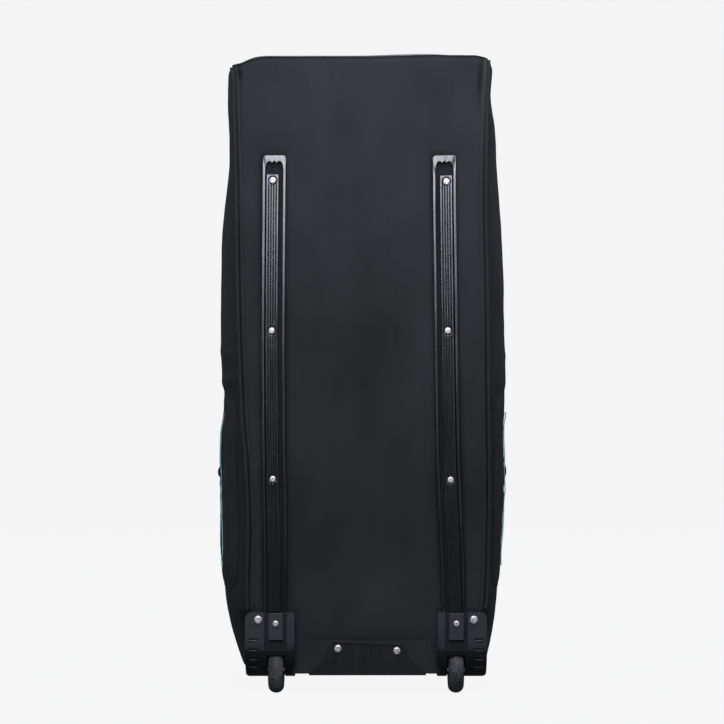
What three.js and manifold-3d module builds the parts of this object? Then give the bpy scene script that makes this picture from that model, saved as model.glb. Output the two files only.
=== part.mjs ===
// A wheeled cricket kit bag, standing upright on its two wheels and its front feet.
// Millimetres, +Z up, origin on the floor under the middle of the bag.
// -Y is the back of the bag, with the skid rails; +Y is the front, with the main zip.
import * as THREE from 'three';
import { mergeVertices } from 'three/addons/utils/BufferGeometryUtils.js';
import Module from 'manifold-3d';

const wasm = await Module();
wasm.setup();

// Fabric body
const BODY_HEIGHT = 904.5;
const BODY_DEPTH = 300;
const BACK_WIDTH = 362;
const BELLY_WIDTH = 436;
const FRONT_WIDTH = 352;
const BASE_CLEARANCE = 30;
const CLOTH = 2;
const BOARD = 3;
const SEAM_GAP = 0.5;
const PIPING_RADIUS = 2.5;
const BACK_ROLL = 1;
const FRONT_DOME = 14;
const TOP_DOME = 17;
const CORNER_DROP = 17;
const SIDE_RISE = { left: 13, right: 0 };
const SEAM_RIM = 12;
const LEAN = 12.4;
const LEAN_PIVOT = 0.355;

// Main zip on the front
const LID_WIDTH = 280;
const LID_HEIGHT = 805;
const LID_SILL = 50;
const LID_CORNER = 55;
const CHAIN_WIDTH = 7;
const CHAIN_PROUD = 1.2;
const CHAIN_DEPTH = 3;
const SLIDER = { width: 11, height: 9, thickness: 2.6, apart: 16 };
const PULL = { width: 7, length: 32, thickness: 1.8 };

// Side pockets
const POCKET_WALL = 1.8;
const POCKET_CORNER = 26;
const POCKET_DEPTH = 214;
const POCKET_SILL = 122;
const POCKET_HEIGHT = 286;
const SIDE_ZIP_WIDTH = 8.5;
const SIDE_ZIP_WALL = 1.4;
const SIDE_ZIP_AT = { left: 0.3, right: 0.4 };
const SIDE_PULL = { z: 322, length: 19, width: 5, reach: { left: 5.5, right: 2.4 } };

// Pull handle on the top
const HANDLE = { length: 190, width: 36, wall: 3, hump: 7, y: 45 };

// Wheels, axles and their corner housings
const WHEEL_RADIUS = 34;
const WHEEL_WIDTH = 23.4;
const HUB_RADIUS = 21.5;
const AXLE_RADIUS = 3;
const WHEEL_TRACK = 265;
const WHEEL_BACK = 15;
const WELL_CLEARANCE = 3;
const WELL_WALL = 3.2;
const WELL_SIDE_GAP = 1.4;
const HOUSING_WIDTH = 72.5;
const HOUSING_OUTER = 177.3;
const HOUSING_HEIGHT = 100;
const HOUSING_PROUD = 16;
const HOUSING_INSET = 56;
const HOUSING_SHOULDER = 54;
const HOUSING_DROP = 8.5;
const HOUSING_WALL = 3;
const GUSSET_WALL = 2.5;
const HEEL_RADIUS = 55;
const LOUVRE = { width: 15, height: 2.4, depth: 2.6, pitch: 15, count: 5, x: 165.5 };

// Skid rails
const RAIL_LENGTH = 670.5;
const RAIL_SPREAD = { foot: 266.3, head: 254.5 };
const RAIL_SHIFT = -1;
const CHANNEL = { width: 34, height: 8, floor: 2, rim: 4.5, end: 9, corner: 7 };
const BAR = { width: 18, height: 8.7, length: 643.5, offset: 2.2, ribs: 5, groove: 1.3, pad: 15 };
const BLOCK = { width: 21.8, length: 39.5, height: 6.7, corner: 2 };
const RECESS = { width: 33, bottom: 45.7, depth: 8 };
const COUNTERBORE = { radius: 6.3, depth: 1.5 };

// Guard plate between the wheels
const GUARD = { tips: 172, top: 108, height: 49, wall: 4, lip: 1.6, run: 64, drop: 2, shift: 2, tilt: 0.038 };

const FOOT = { radius: 15, sole: 11, x: 118, y: 100 };

// Clearance between pieces that touch on the real bag
const SEAT = 0.3;

const SCREWS = {
  rail: { head: 4.8, height: 2.6, shank: 2, length: 5 },
  block: { head: 4.6, height: 2.6, shank: 2, length: 5 },
  housing: { head: 6.2, height: 3.2, shank: 2.5, length: 8 },
  guard: { head: 5.7, height: 3, shank: 2, length: 3.4 },
};
// Rail screws, as shares of the bar's length from its lower end
const RAIL_SCREWS = [0.3, 0.64, 0.985];

const MATERIALS = {
  fabric: new THREE.MeshStandardMaterial({ color: 0x26272b, roughness: 0.85 }),
  piping: new THREE.MeshStandardMaterial({ color: 0x1f2023, roughness: 0.7 }),
  webbing: new THREE.MeshStandardMaterial({ color: 0x1c1d20, roughness: 0.8 }),
  zip: new THREE.MeshStandardMaterial({ color: 0x141517, roughness: 0.5 }),
  accent: new THREE.MeshStandardMaterial({ color: 0x7fb6c2, roughness: 0.6 }),
  plastic: new THREE.MeshStandardMaterial({ color: 0x232428, roughness: 0.35 }),
  rubber: new THREE.MeshStandardMaterial({ color: 0x2b2c30, roughness: 0.75 }),
  steel: new THREE.MeshStandardMaterial({ color: 0xc9cacd, roughness: 0.3, metalness: 1 }),
};

const BACK_Y = -BODY_DEPTH / 2;
const FRONT_Y = BODY_DEPTH / 2;
const BASE_Z = BASE_CLEARANCE;
const TOP_Z = BASE_Z + BODY_HEIGHT;
const HOUSING_BASE = BASE_Z - HOUSING_DROP;
const HOUSING_TOP = HOUSING_BASE + HOUSING_HEIGHT;
const SIDES = { left: -1, right: 1 };

// The photographed outline. at: height as a share of BODY_HEIGHT. leftSeam, rightSeam: the piped
// edges as shares of half BACK_WIDTH. leftBelly, rightBelly: the side bulges, dents and folds as
// shares of half BELLY_WIDTH.
const OUTLINE = [
  { at: 0.0, leftSeam: 0.934, rightSeam: 0.985, leftBelly: 0.849, rightBelly: 0.86 },
  { at: 0.05, leftSeam: 0.934, rightSeam: 0.985, leftBelly: 0.925, rightBelly: 0.911 },
  { at: 0.102, leftSeam: 0.934, rightSeam: 0.985, leftBelly: 0.969, rightBelly: 0.937 },
  { at: 0.118, leftSeam: 0.942, rightSeam: 1.004, leftBelly: 0.975, rightBelly: 0.942 },
  { at: 0.168, leftSeam: 0.936, rightSeam: 1.015, leftBelly: 0.984, rightBelly: 0.957 },
  { at: 0.234, leftSeam: 0.92, rightSeam: 1.02, leftBelly: 0.99, rightBelly: 0.966 },
  { at: 0.312, leftSeam: 0.934, rightSeam: 1.02, leftBelly: 0.988, rightBelly: 0.974 },
  { at: 0.383, leftSeam: 0.95, rightSeam: 1.017, leftBelly: 0.986, rightBelly: 0.974 },
  { at: 0.424, leftSeam: 0.961, rightSeam: 1.014, leftBelly: 0.97, rightBelly: 0.984 },
  { at: 0.466, leftSeam: 0.97, rightSeam: 1.011, leftBelly: 0.994, rightBelly: 1.004 },
  { at: 0.527, leftSeam: 0.981, rightSeam: 1.01, leftBelly: 1.0, rightBelly: 1.002 },
  { at: 0.588, leftSeam: 0.991, rightSeam: 1.008, leftBelly: 1.003, rightBelly: 0.988 },
  { at: 0.632, leftSeam: 0.994, rightSeam: 1.007, leftBelly: 0.995, rightBelly: 0.994 },
  { at: 0.731, leftSeam: 1.003, rightSeam: 0.997, leftBelly: 0.997, rightBelly: 0.977 },
  { at: 0.781, leftSeam: 1.006, rightSeam: 0.996, leftBelly: 0.968, rightBelly: 0.963 },
  { at: 0.842, leftSeam: 1.007, rightSeam: 0.999, leftBelly: 0.937, rightBelly: 0.945 },
  { at: 0.919, leftSeam: 1.01, rightSeam: 1.006, leftBelly: 0.949, rightBelly: 0.914 },
  { at: 0.947, leftSeam: 1.01, rightSeam: 1.012, leftBelly: 0.949, rightBelly: 0.882 },
  { at: 0.975, leftSeam: 1.012, rightSeam: 1.019, leftBelly: 0.942, rightBelly: 0.888 },
  { at: 1.0, leftSeam: 1.014, rightSeam: 1.022, leftBelly: 0.938, rightBelly: 0.888 },
];

// The top seam. at: place across the back, -1 left corner to 1 right corner. drop: how far the
// seam hangs below TOP_Z, as a share of CORNER_DROP.
const TOP_EDGE = [
  { at: -1.0, drop: 0.9 },
  { at: -0.85, drop: 0.26 },
  { at: -0.77, drop: 0.08 },
  { at: 0.0, drop: 0.03 },
  { at: 0.52, drop: -0.12 },
  { at: 0.72, drop: -0.06 },
  { at: 1.0, drop: 0.14 },
];

const lerp = (a, b, t) => a + (b - a) * t;
const clamp01 = (t) => Math.min(1, Math.max(0, t));

// Reads one column of a table at any place, along a smooth curve through its rows.
function column(table, name) {
  return (at) => {
    const last = table.length - 2;
    let i = 0;
    while (i < last && at > table[i + 1].at) i += 1;
    const a = table[i];
    const b = table[i + 1];
    const before = table[Math.max(0, i - 1)];
    const after = table[Math.min(table.length - 1, i + 2)];
    const span = b.at - a.at;
    const t = clamp01((at - a.at) / span);
    const slopeA = ((b[name] - before[name]) / (b.at - before.at)) * span;
    const slopeB = ((after[name] - a[name]) / (after.at - a.at)) * span;
    const t2 = t * t;
    const t3 = t2 * t;
    return (
      (2 * t3 - 3 * t2 + 1) * a[name] +
      (t3 - 2 * t2 + t) * slopeA +
      (3 * t2 - 2 * t3) * b[name] +
      (t3 - t2) * slopeB
    );
  };
}

const seamShare = { left: column(OUTLINE, 'leftSeam'), right: column(OUTLINE, 'rightSeam') };
const bellyShare = { left: column(OUTLINE, 'leftBelly'), right: column(OUTLINE, 'rightBelly') };
const topDrop = column(TOP_EDGE, 'drop');
const heightShare = (z) => clamp01((z - BASE_Z) / BODY_HEIGHT);

// The bag leans a little to its left: where its middle is at a height.
const midline = (z) => LEAN * (LEAN_PIVOT - heightShare(z));

const backSeamX = (side, z) => (SIDES[side] * seamShare[side](heightShare(z)) * BACK_WIDTH) / 2;
const frontSeamX = (side, z) => midline(z) + (SIDES[side] * FRONT_WIDTH) / 2;
const bellyX = (side, z) => (SIDES[side] * bellyShare[side](heightShare(z)) * BELLY_WIDTH) / 2;
const topEdgeZ = (across) => TOP_Z - topDrop(across) * CORNER_DROP;

// How far forward of the back seam the wheel housing holds the side cloth flat, at a height.
function pinch(z) {
  const shoulder = HOUSING_BASE + HOUSING_SHOULDER;
  const radius = HOUSING_TOP - shoulder;
  const drop = Math.min(radius, Math.max(0, HOUSING_TOP - z));
  const held = HOUSING_INSET - Math.sqrt(radius * radius - drop * drop);
  return Math.max(SEAM_RIM, held + SEAT);
}

const arch = (s) => Math.pow(Math.max(0, 1 - Math.pow(2 * s - 1, 2)), 0.8);
const puff = (s) => 1 - Math.pow(2 * s - 1, 4);
const tightPuff = (s) => 1 - Math.pow(2 * s - 1, 8);

// A side panel's surface. s: 0 at the back seam's rim to 1 at the front seam; below 0, the rim.
function sidePoint(side, s, z) {
  const depth = FRONT_Y - CLOTH - SEAM_GAP - (BACK_Y + BOARD + SEAM_GAP);
  const rim = pinch(z) / depth;
  const t = s < 0 ? rim * (1 + s) : lerp(rim, 1, s);
  const back = backSeamX(side, z);
  const front = frontSeamX(side, z);
  const chord = lerp(back, front, t);
  const middle = lerp(back, front, lerp(rim, 1, 0.5));
  const bulge = s < 0 ? 0 : (bellyX(side, z) - middle) * arch(s);
  return new THREE.Vector3(chord + bulge, BACK_Y + BOARD + SEAM_GAP + depth * t, z);
}

// The side panels' grid lines, with the side zip's two edges among them.
function sideColumns(side) {
  const at = SIDE_ZIP_AT[side];
  const zip = SIDE_ZIP_WIDTH / BODY_DEPTH;
  return [-1, 0, 0.07, 0.18, at, at + zip, 0.58, 0.76, 0.9, 1];
}
const zipColumns = (side) => sideColumns(side).slice(4, 6);
const sideRows = OUTLINE.map((row) => row.at);

// Closed geometry from vertices and triangles, turned to face outwards.
function closedGeometry(vertices, triangles) {
  let volume = 0;
  for (let i = 0; i < triangles.length; i += 3) {
    const [a, b, c] = [0, 1, 2].map((k) => vertices[triangles[i + k]]);
    volume += a.dot(new THREE.Vector3().crossVectors(b, c));
  }
  const order = volume < 0 ? [0, 2, 1] : [0, 1, 2];
  const index = [];
  for (let i = 0; i < triangles.length; i += 3) order.forEach((k) => index.push(triangles[i + k]));
  const geometry = new THREE.BufferGeometry().setFromPoints(vertices);
  geometry.setIndex(index);
  return geometry;
}

// A cloth wall: the surface point(c, r) over a grid, lifted along its normal, with a thickness
// below that. towards: a direction that the outer face looks in.
function wall({ point, columns, rows, thickness, lift = 0, outward }) {
  const step = 1e-3;
  const vertices = [];
  const layer = (offset) => {
    rows.forEach((r) => columns.forEach((c) => {
      const p = point(c, r);
      const alongC = point(c + step, r).sub(point(c - step, r));
      const alongR = point(c, r + step).sub(point(c, r - step));
      const normal = new THREE.Vector3().crossVectors(alongC, alongR).normalize();
      if (normal.dot(outward) < 0) normal.negate();
      vertices.push(p.addScaledVector(normal, offset));
    }));
  };
  layer(lift);
  layer(lift - thickness);
  const across = columns.length;
  const size = across * rows.length;
  const triangles = [];
  const quad = (a, b, c, d) => triangles.push(a, b, c, a, c, d);
  for (let j = 0; j + 1 < rows.length; j += 1) {
    for (let i = 0; i + 1 < across; i += 1) {
      const a = j * across + i;
      quad(a, a + 1, a + across + 1, a + across);
      quad(size + a, size + a + across, size + a + across + 1, size + a + 1);
    }
  }
  const rim = [];
  for (let i = 0; i < across; i += 1) rim.push(i);
  for (let j = 1; j < rows.length; j += 1) rim.push(j * across + across - 1);
  for (let i = across - 2; i >= 0; i -= 1) rim.push((rows.length - 1) * across + i);
  for (let j = rows.length - 2; j > 0; j -= 1) rim.push(j * across);
  rim.forEach((a, k) => {
    const b = rim[(k + 1) % rim.length];
    quad(b, a, size + a, size + b);
  });
  return closedGeometry(vertices, triangles);
}

// Solids for cutting and joining
function solid(geometry) {
  const bare = geometry.clone();
  bare.deleteAttribute('normal');
  bare.deleteAttribute('uv');
  const merged = mergeVertices(bare, 1e-4);
  return new wasm.Manifold(new wasm.Mesh({
    numProp: 3,
    vertProperties: merged.attributes.position.array,
    triVerts: new Uint32Array(merged.index.array),
  }));
}

function geometryOf(manifold) {
  const mesh = manifold.getMesh();
  const geometry = new THREE.BufferGeometry();
  geometry.setAttribute('position', new THREE.BufferAttribute(mesh.vertProperties, 3));
  geometry.setIndex(new THREE.BufferAttribute(mesh.triVerts, 1));
  return geometry;
}

function extrude(shape, depth, curveSegments = 6) {
  return new THREE.ExtrudeGeometry(shape, { depth, bevelEnabled: false, curveSegments });
}

// A shape in x and z, from yBack to yFront.
function alongY(shape, yBack, yFront, curveSegments) {
  const geometry = extrude(shape, yFront - yBack, curveSegments).rotateX(Math.PI / 2);
  return geometry.translate(0, yFront, 0);
}

// A shape in y and z, from xLow to xHigh.
function alongX(shape, xLow, xHigh, curveSegments) {
  const turn = new THREE.Matrix4().makeBasis(
    new THREE.Vector3(0, 1, 0),
    new THREE.Vector3(0, 0, 1),
    new THREE.Vector3(1, 0, 0),
  );
  return extrude(shape, xHigh - xLow, curveSegments).applyMatrix4(turn).translate(xLow, 0, 0);
}

function box(xLow, xHigh, yLow, yHigh, zLow, zHigh) {
  return new THREE.BoxGeometry(xHigh - xLow, yHigh - yLow, zHigh - zLow).translate(
    (xLow + xHigh) / 2,
    (yLow + yHigh) / 2,
    (zLow + zHigh) / 2,
  );
}

// A rectangle with its own radius at each corner: low left, low right, high right, high left.
function roundedRectangle(x0, x1, y0, y1, [lowLeft, lowRight, highRight, highLeft]) {
  const half = Math.PI / 2;
  const shape = new THREE.Shape();
  shape.moveTo(x0 + lowLeft, y0);
  shape.absarc(x1 - lowRight, y0 + lowRight, lowRight, -half, 0, false);
  shape.absarc(x1 - highRight, y1 - highRight, highRight, 0, half, false);
  shape.absarc(x0 + highLeft, y1 - highLeft, highLeft, half, 2 * half, false);
  shape.absarc(x0 + lowLeft, y0 + lowLeft, lowLeft, 2 * half, 3 * half, false);
  return shape;
}

const cylinderX = (radius, length, sides) =>
  new THREE.CylinderGeometry(radius, radius, length, sides).rotateZ(Math.PI / 2);
const cylinderY = (radius, length, sides) =>
  new THREE.CylinderGeometry(radius, radius, length, sides);

const bag = new THREE.Group();

function add(parent, name, geometry, material) {
  const mesh = new THREE.Mesh(geometry, material);
  mesh.name = name;
  parent.add(mesh);
  return mesh;
}

// Where each hard corner stands
const wheelX = (side) => midline(BASE_Z) + (SIDES[side] * WHEEL_TRACK) / 2;
const outerX = (side) => midline(BASE_Z) + SIDES[side] * HOUSING_OUTER;
const innerX = (side) => midline(BASE_Z) + SIDES[side] * (HOUSING_OUTER - HOUSING_WIDTH);
const AXLE_Y = BACK_Y + WHEEL_BACK;
const HOUSING_FACE = BACK_Y - HOUSING_PROUD;
const HOUSING_FRONT = BACK_Y + HOUSING_INSET;
const SHOULDER_Z = HOUSING_BASE + HOUSING_SHOULDER;
const BIG = 1000;

// The space that each wheel housing takes out of the bag's lower back corners.
function withoutHousings(geometry) {
  let cloth = solid(geometry);
  Object.keys(SIDES).forEach((side) => {
    const inner = innerX(side) - SIDES[side] * SEAM_GAP;
    const outer = SIDES[side] * BIG;
    const low = Math.min(inner, outer);
    const high = Math.max(inner, outer);
    const corner = box(low, high, -BIG, HOUSING_FRONT + SEAM_GAP, -BIG, SHOULDER_Z + SEAM_GAP);
    cloth = cloth.subtract(solid(corner));
  });
  return geometryOf(cloth);
}

function backPanel() {
  const inset = PIPING_RADIUS + 4 * SEAM_GAP;
  return withoutHousings(wall({
    point: (across, r) => {
      const z = lerp(BASE_Z, topEdgeZ(across) - CLOTH - SEAM_GAP, r);
      const left = backSeamX('left', z) + inset;
      const right = backSeamX('right', z) - inset;
      const y = BACK_Y + BACK_ROLL * Math.pow(across, 8);
      return new THREE.Vector3(lerp(left, right, (across + 1) / 2), y, z);
    },
    columns: TOP_EDGE.map((row) => row.at),
    rows: sideRows,
    thickness: BOARD,
    outward: new THREE.Vector3(0, -1, 0),
  }));
}

// The height of a side panel's top edge, which rises between its corners.
function sideTopZ(side, s) {
  return topEdgeZ(SIDES[side]) + SIDE_RISE[side] * arch(clamp01(s));
}

function sideSurface(side) {
  return (s, r) => {
    const z = lerp(BASE_Z, sideTopZ(side, s) - CLOTH - SEAM_GAP, r);
    return sidePoint(side, s, z);
  };
}

function sidePanel(side) {
  return withoutHousings(wall({
    point: sideSurface(side),
    columns: sideColumns(side),
    rows: sideRows,
    thickness: CLOTH,
    outward: new THREE.Vector3(SIDES[side], 0, 0),
  }));
}

// The top end panel, puffed up between its four seams. across: -1 to 1. s: back to front.
function topPoint(across, s) {
  const left = sidePoint('left', s, TOP_Z);
  const right = sidePoint('right', s, TOP_Z);
  const u = (across + 1) / 2;
  const rise = SIDE_RISE.left * Math.pow(1 - u, 8) + SIDE_RISE.right * Math.pow(u, 8);
  const y = lerp(BACK_Y, FRONT_Y, clamp01((left.y - BACK_Y) / BODY_DEPTH));
  const dome = TOP_DOME * tightPuff(u) * puff(clamp01(s));
  const z = topEdgeZ(across) + rise * arch(clamp01(s)) + dome;
  return new THREE.Vector3(lerp(left.x, right.x, u), y, z);
}

function topPanel() {
  return wall({
    point: topPoint,
    columns: TOP_EDGE.map((row) => row.at),
    rows: [-1, 0, 0.07, 0.18, 0.38, 0.6, 0.8, 0.92, 1],
    thickness: CLOTH,
    outward: new THREE.Vector3(0, 0, 1),
  });
}

function basePanel() {
  const inset = CLOTH + 2 * SEAM_GAP;
  return withoutHousings(wall({
    point: (across, s) => {
      const left = sidePoint('left', s, BASE_Z);
      const right = sidePoint('right', s, BASE_Z);
      const x = lerp(left.x + inset, right.x - inset, (across + 1) / 2);
      return new THREE.Vector3(x, left.y, BASE_Z);
    },
    columns: [-1, 0, 1],
    rows: [-1, 0, 0.16, 0.4, 0.64, 0.86, 1],
    thickness: BOARD,
    outward: new THREE.Vector3(0, 0, -1),
  }));
}

// The front: a border, the zipped lid inside it, and the zip between them.
function frontPoint(across, r) {
  const z = lerp(BASE_Z, topEdgeZ(across) - CLOTH - SEAM_GAP, r);
  const u = (across + 1) / 2;
  const y = FRONT_Y + FRONT_DOME * puff(u) * puff(clamp01(r));
  return new THREE.Vector3(lerp(frontSeamX('left', z), frontSeamX('right', z), u), y, z);
}

function frontWall(lift, thickness) {
  return solid(wall({
    point: frontPoint,
    columns: [-1, -0.9, -0.7, -0.35, 0, 0.35, 0.7, 0.9, 1],
    rows: [0, 0.05, 0.16, 0.5, 0.84, 0.95, 1],
    thickness,
    lift,
    outward: new THREE.Vector3(0, 1, 0),
  }));
}

// The lid's outline, grown by an amount, from a sill upwards. It leans with the bag.
function lidPrism(grow, sill) {
  const half = LID_WIDTH / 2 + grow;
  const low = BASE_Z + sill;
  const high = BASE_Z + LID_SILL + LID_HEIGHT + grow;
  const corner = LID_CORNER + grow;
  const shape = roundedRectangle(-half, half, low, high, [1, 1, corner, corner]);
  const prism = alongY(shape, FRONT_Y - BODY_DEPTH / 4, FRONT_Y + BODY_DEPTH / 4, 4);
  const shear = new THREE.Matrix4();
  shear.makeShear(0, 0, 0, 0, -LEAN / BODY_HEIGHT, 0);
  return solid(prism.applyMatrix4(shear).translate(midline(BASE_Z) + (LEAN * BASE_Z) / BODY_HEIGHT, 0, 0));
}

function frontPieces() {
  const gap = CHAIN_WIDTH / 2 + SEAT;
  const sheet = frontWall(0, CLOTH);
  const proud = frontWall(CHAIN_PROUD, CHAIN_DEPTH);
  const outer = lidPrism(CHAIN_WIDTH / 2, LID_SILL);
  const inner = lidPrism(-CHAIN_WIDTH / 2, LID_SILL - 1);
  return {
    border: geometryOf(sheet.subtract(lidPrism(gap, LID_SILL - SEAM_GAP))),
    lid: geometryOf(sheet.intersect(lidPrism(-gap, LID_SILL))),
    chain: geometryOf(proud.intersect(outer.subtract(inner))),
  };
}

function pipingCord(side) {
  const low = HOUSING_TOP + SEAM_GAP;
  const high = topEdgeZ(SIDES[side]) - CLOTH - SEAM_GAP;
  const heights = sideRows.map((at) => lerp(BASE_Z, high, at)).filter((z) => z > low + CLOTH);
  const points = [low, ...heights].map((z) => {
    const x = backSeamX(side, z) - SIDES[side] * SEAM_GAP;
    return new THREE.Vector3(x, BACK_Y + SEAM_GAP, z);
  });
  const circle = new THREE.Shape().absarc(0, 0, PIPING_RADIUS, 0, 2 * Math.PI, false);
  return new THREE.ExtrudeGeometry(circle, {
    steps: points.length + 4,
    curveSegments: 3,
    bevelEnabled: false,
    extrudePath: new THREE.CatmullRomCurve3(points),
  });
}

// A flat patch pocket on each side panel, cut to a rounded outline from the panel's own surface.
function sidePocket(side) {
  const low = BASE_Z + POCKET_SILL;
  const half = POCKET_DEPTH / 2;
  const corners = new Array(4).fill(POCKET_CORNER);
  const outline = roundedRectangle(-half, half, low, low + POCKET_HEIGHT, corners);
  const reach = SIDES[side] * BIG;
  const prism = alongX(outline, Math.min(0, reach), Math.max(0, reach), 3);
  const patch = solid(wall({
    point: sideSurface(side),
    columns: sideColumns(side).slice(1),
    rows: sideRows,
    thickness: POCKET_WALL,
    lift: SEAT + POCKET_WALL,
    outward: new THREE.Vector3(SIDES[side], 0, 0),
  }));
  return geometryOf(patch.intersect(solid(prism)));
}

// The zip down each pocket, on a bright tape.
function sideZip(side) {
  const band = solid(wall({
    point: sideSurface(side),
    columns: zipColumns(side),
    rows: sideRows,
    thickness: SIDE_ZIP_WALL,
    lift: 2 * SEAT + POCKET_WALL + SIDE_ZIP_WALL,
    outward: new THREE.Vector3(SIDES[side], 0, 0),
  }));
  const low = BASE_Z + POCKET_SILL + POCKET_CORNER;
  const high = BASE_Z + POCKET_SILL + POCKET_HEIGHT - POCKET_CORNER;
  return geometryOf(band.intersect(solid(box(-BIG, BIG, -BIG, BIG, low, high))));
}

// The pocket zip's slider with its tab, which stands out from the side.
function sideZipPull(side) {
  const [low, high] = zipColumns(side);
  const reach = SIDE_PULL.reach[side];
  const foot = sidePoint(side, (low + high) / 2, SIDE_PULL.z);
  const crest = sidePoint(side, high, SIDE_PULL.z).x;
  const shape = new THREE.Shape();
  const half = SIDE_PULL.length / 2;
  shape.moveTo(0, -half);
  shape.lineTo(reach * 0.35, -half);
  shape.lineTo(reach, -half * 0.35);
  shape.lineTo(reach, half * 0.35);
  shape.lineTo(reach * 0.35, half);
  shape.lineTo(0, half);
  const tab = alongY(shape, -SIDE_PULL.width / 2, SIDE_PULL.width / 2, 4);
  const seat = 3 * SEAT + POCKET_WALL + SIDE_ZIP_WALL;
  if (SIDES[side] < 0) tab.rotateZ(Math.PI);
  return tab.translate(crest + SIDES[side] * seat, foot.y, foot.z);
}

// The main zip's slider and its hanging tab, at the top of the lid.
function addMainSlider(name, sign) {
  const across = (sign * SLIDER.apart) / FRONT_WIDTH;
  const high = BASE_Z + LID_SILL + LID_HEIGHT;
  const at = frontPoint(across, heightShare(high));
  const group = new THREE.Group();
  group.position.set(at.x, at.y + CHAIN_PROUD + 2 * SEAT, high);
  bag.add(group);
  const half = SLIDER.width / 2;
  const rise = SLIDER.height / 2;
  const plate = roundedRectangle(-half, half, -rise, rise, [1, 1, 3, 3]);
  add(group, `${name}_slider`, alongY(plate, 0, SLIDER.thickness, 1), MATERIALS.zip);
  const hang = PULL.width / 2;
  const tab = roundedRectangle(-hang, hang, -PULL.length, 0, [3, 3, 1, 1]);
  const pull = alongY(tab, SLIDER.thickness + SEAT, SLIDER.thickness + SEAT + PULL.thickness, 2);
  add(group, `${name}_pull`, pull, MATERIALS.zip);
}

// The pull handle: a webbing strap sewn down at both ends, with a low hump to put a hand under.
function pullHandle() {
  const depth = (y) => (y - BACK_Y - SEAM_RIM) / (BODY_DEPTH - SEAM_RIM);
  return wall({
    point: (u, v) => {
      const y = HANDLE.y + v * HANDLE.width;
      const x = midline(TOP_Z) + u * HANDLE.length;
      const under = topPoint(x / (BACK_WIDTH / 2), depth(y));
      const hump = HANDLE.hump * Math.pow(Math.cos(Math.PI * clamp01(Math.abs(u) * 2.2) / 2), 2);
      return new THREE.Vector3(x, y, under.z + hump + SEAT * 2 + HANDLE.wall);
    },
    columns: [-0.5, -0.455, -0.36, -0.24, -0.12, 0, 0.12, 0.24, 0.36, 0.455, 0.5],
    rows: [-0.5, 0.5],
    thickness: HANDLE.wall,
    outward: new THREE.Vector3(0, 0, 1),
  });
}

// The start of a housing's side view, set in by an amount: a heel rounded round the wheel and a
// flat sole.
function heelOutline(inset) {
  const radius = HEEL_RADIUS - inset;
  const y = HOUSING_FACE + HEEL_RADIUS;
  const z = HOUSING_BASE + HEEL_RADIUS;
  const shape = new THREE.Shape();
  shape.absarc(y, z, radius, Math.PI, Math.PI * 1.5, false);
  shape.lineTo(HOUSING_FRONT - inset, HOUSING_BASE + inset);
  return shape;
}

// The corner of cloth that a housing wraps at its side: a web with a hollow curve.
function gussetOutline() {
  const radius = HOUSING_TOP - SHOULDER_Z;
  const shape = new THREE.Shape();
  shape.moveTo(BACK_Y - 2 * SEAT, SHOULDER_Z - 1);
  shape.lineTo(HOUSING_FRONT, SHOULDER_Z - 1);
  shape.lineTo(HOUSING_FRONT, SHOULDER_Z);
  shape.absarc(HOUSING_FRONT, HOUSING_TOP, radius, -Math.PI / 2, -Math.PI, true);
  shape.lineTo(BACK_Y - 2 * SEAT, HOUSING_TOP);
  return shape;
}

function screwHole(x, y, z, screw) {
  const depth = screw.length + 2 * SEAT;
  return solid(cylinderY(screw.shank + SEAT, 2 * depth, 10).translate(x, y, z));
}

// Places on a housing, left or right
const railFootX = (side) => wheelX(side);
const housingScrewX = (side) => outerX(side) - SIDES[side] * HOUSING_WIDTH * 0.265;
const HOUSING_SCREW_Z = HOUSING_BASE + HOUSING_HEIGHT * 0.895;

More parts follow.
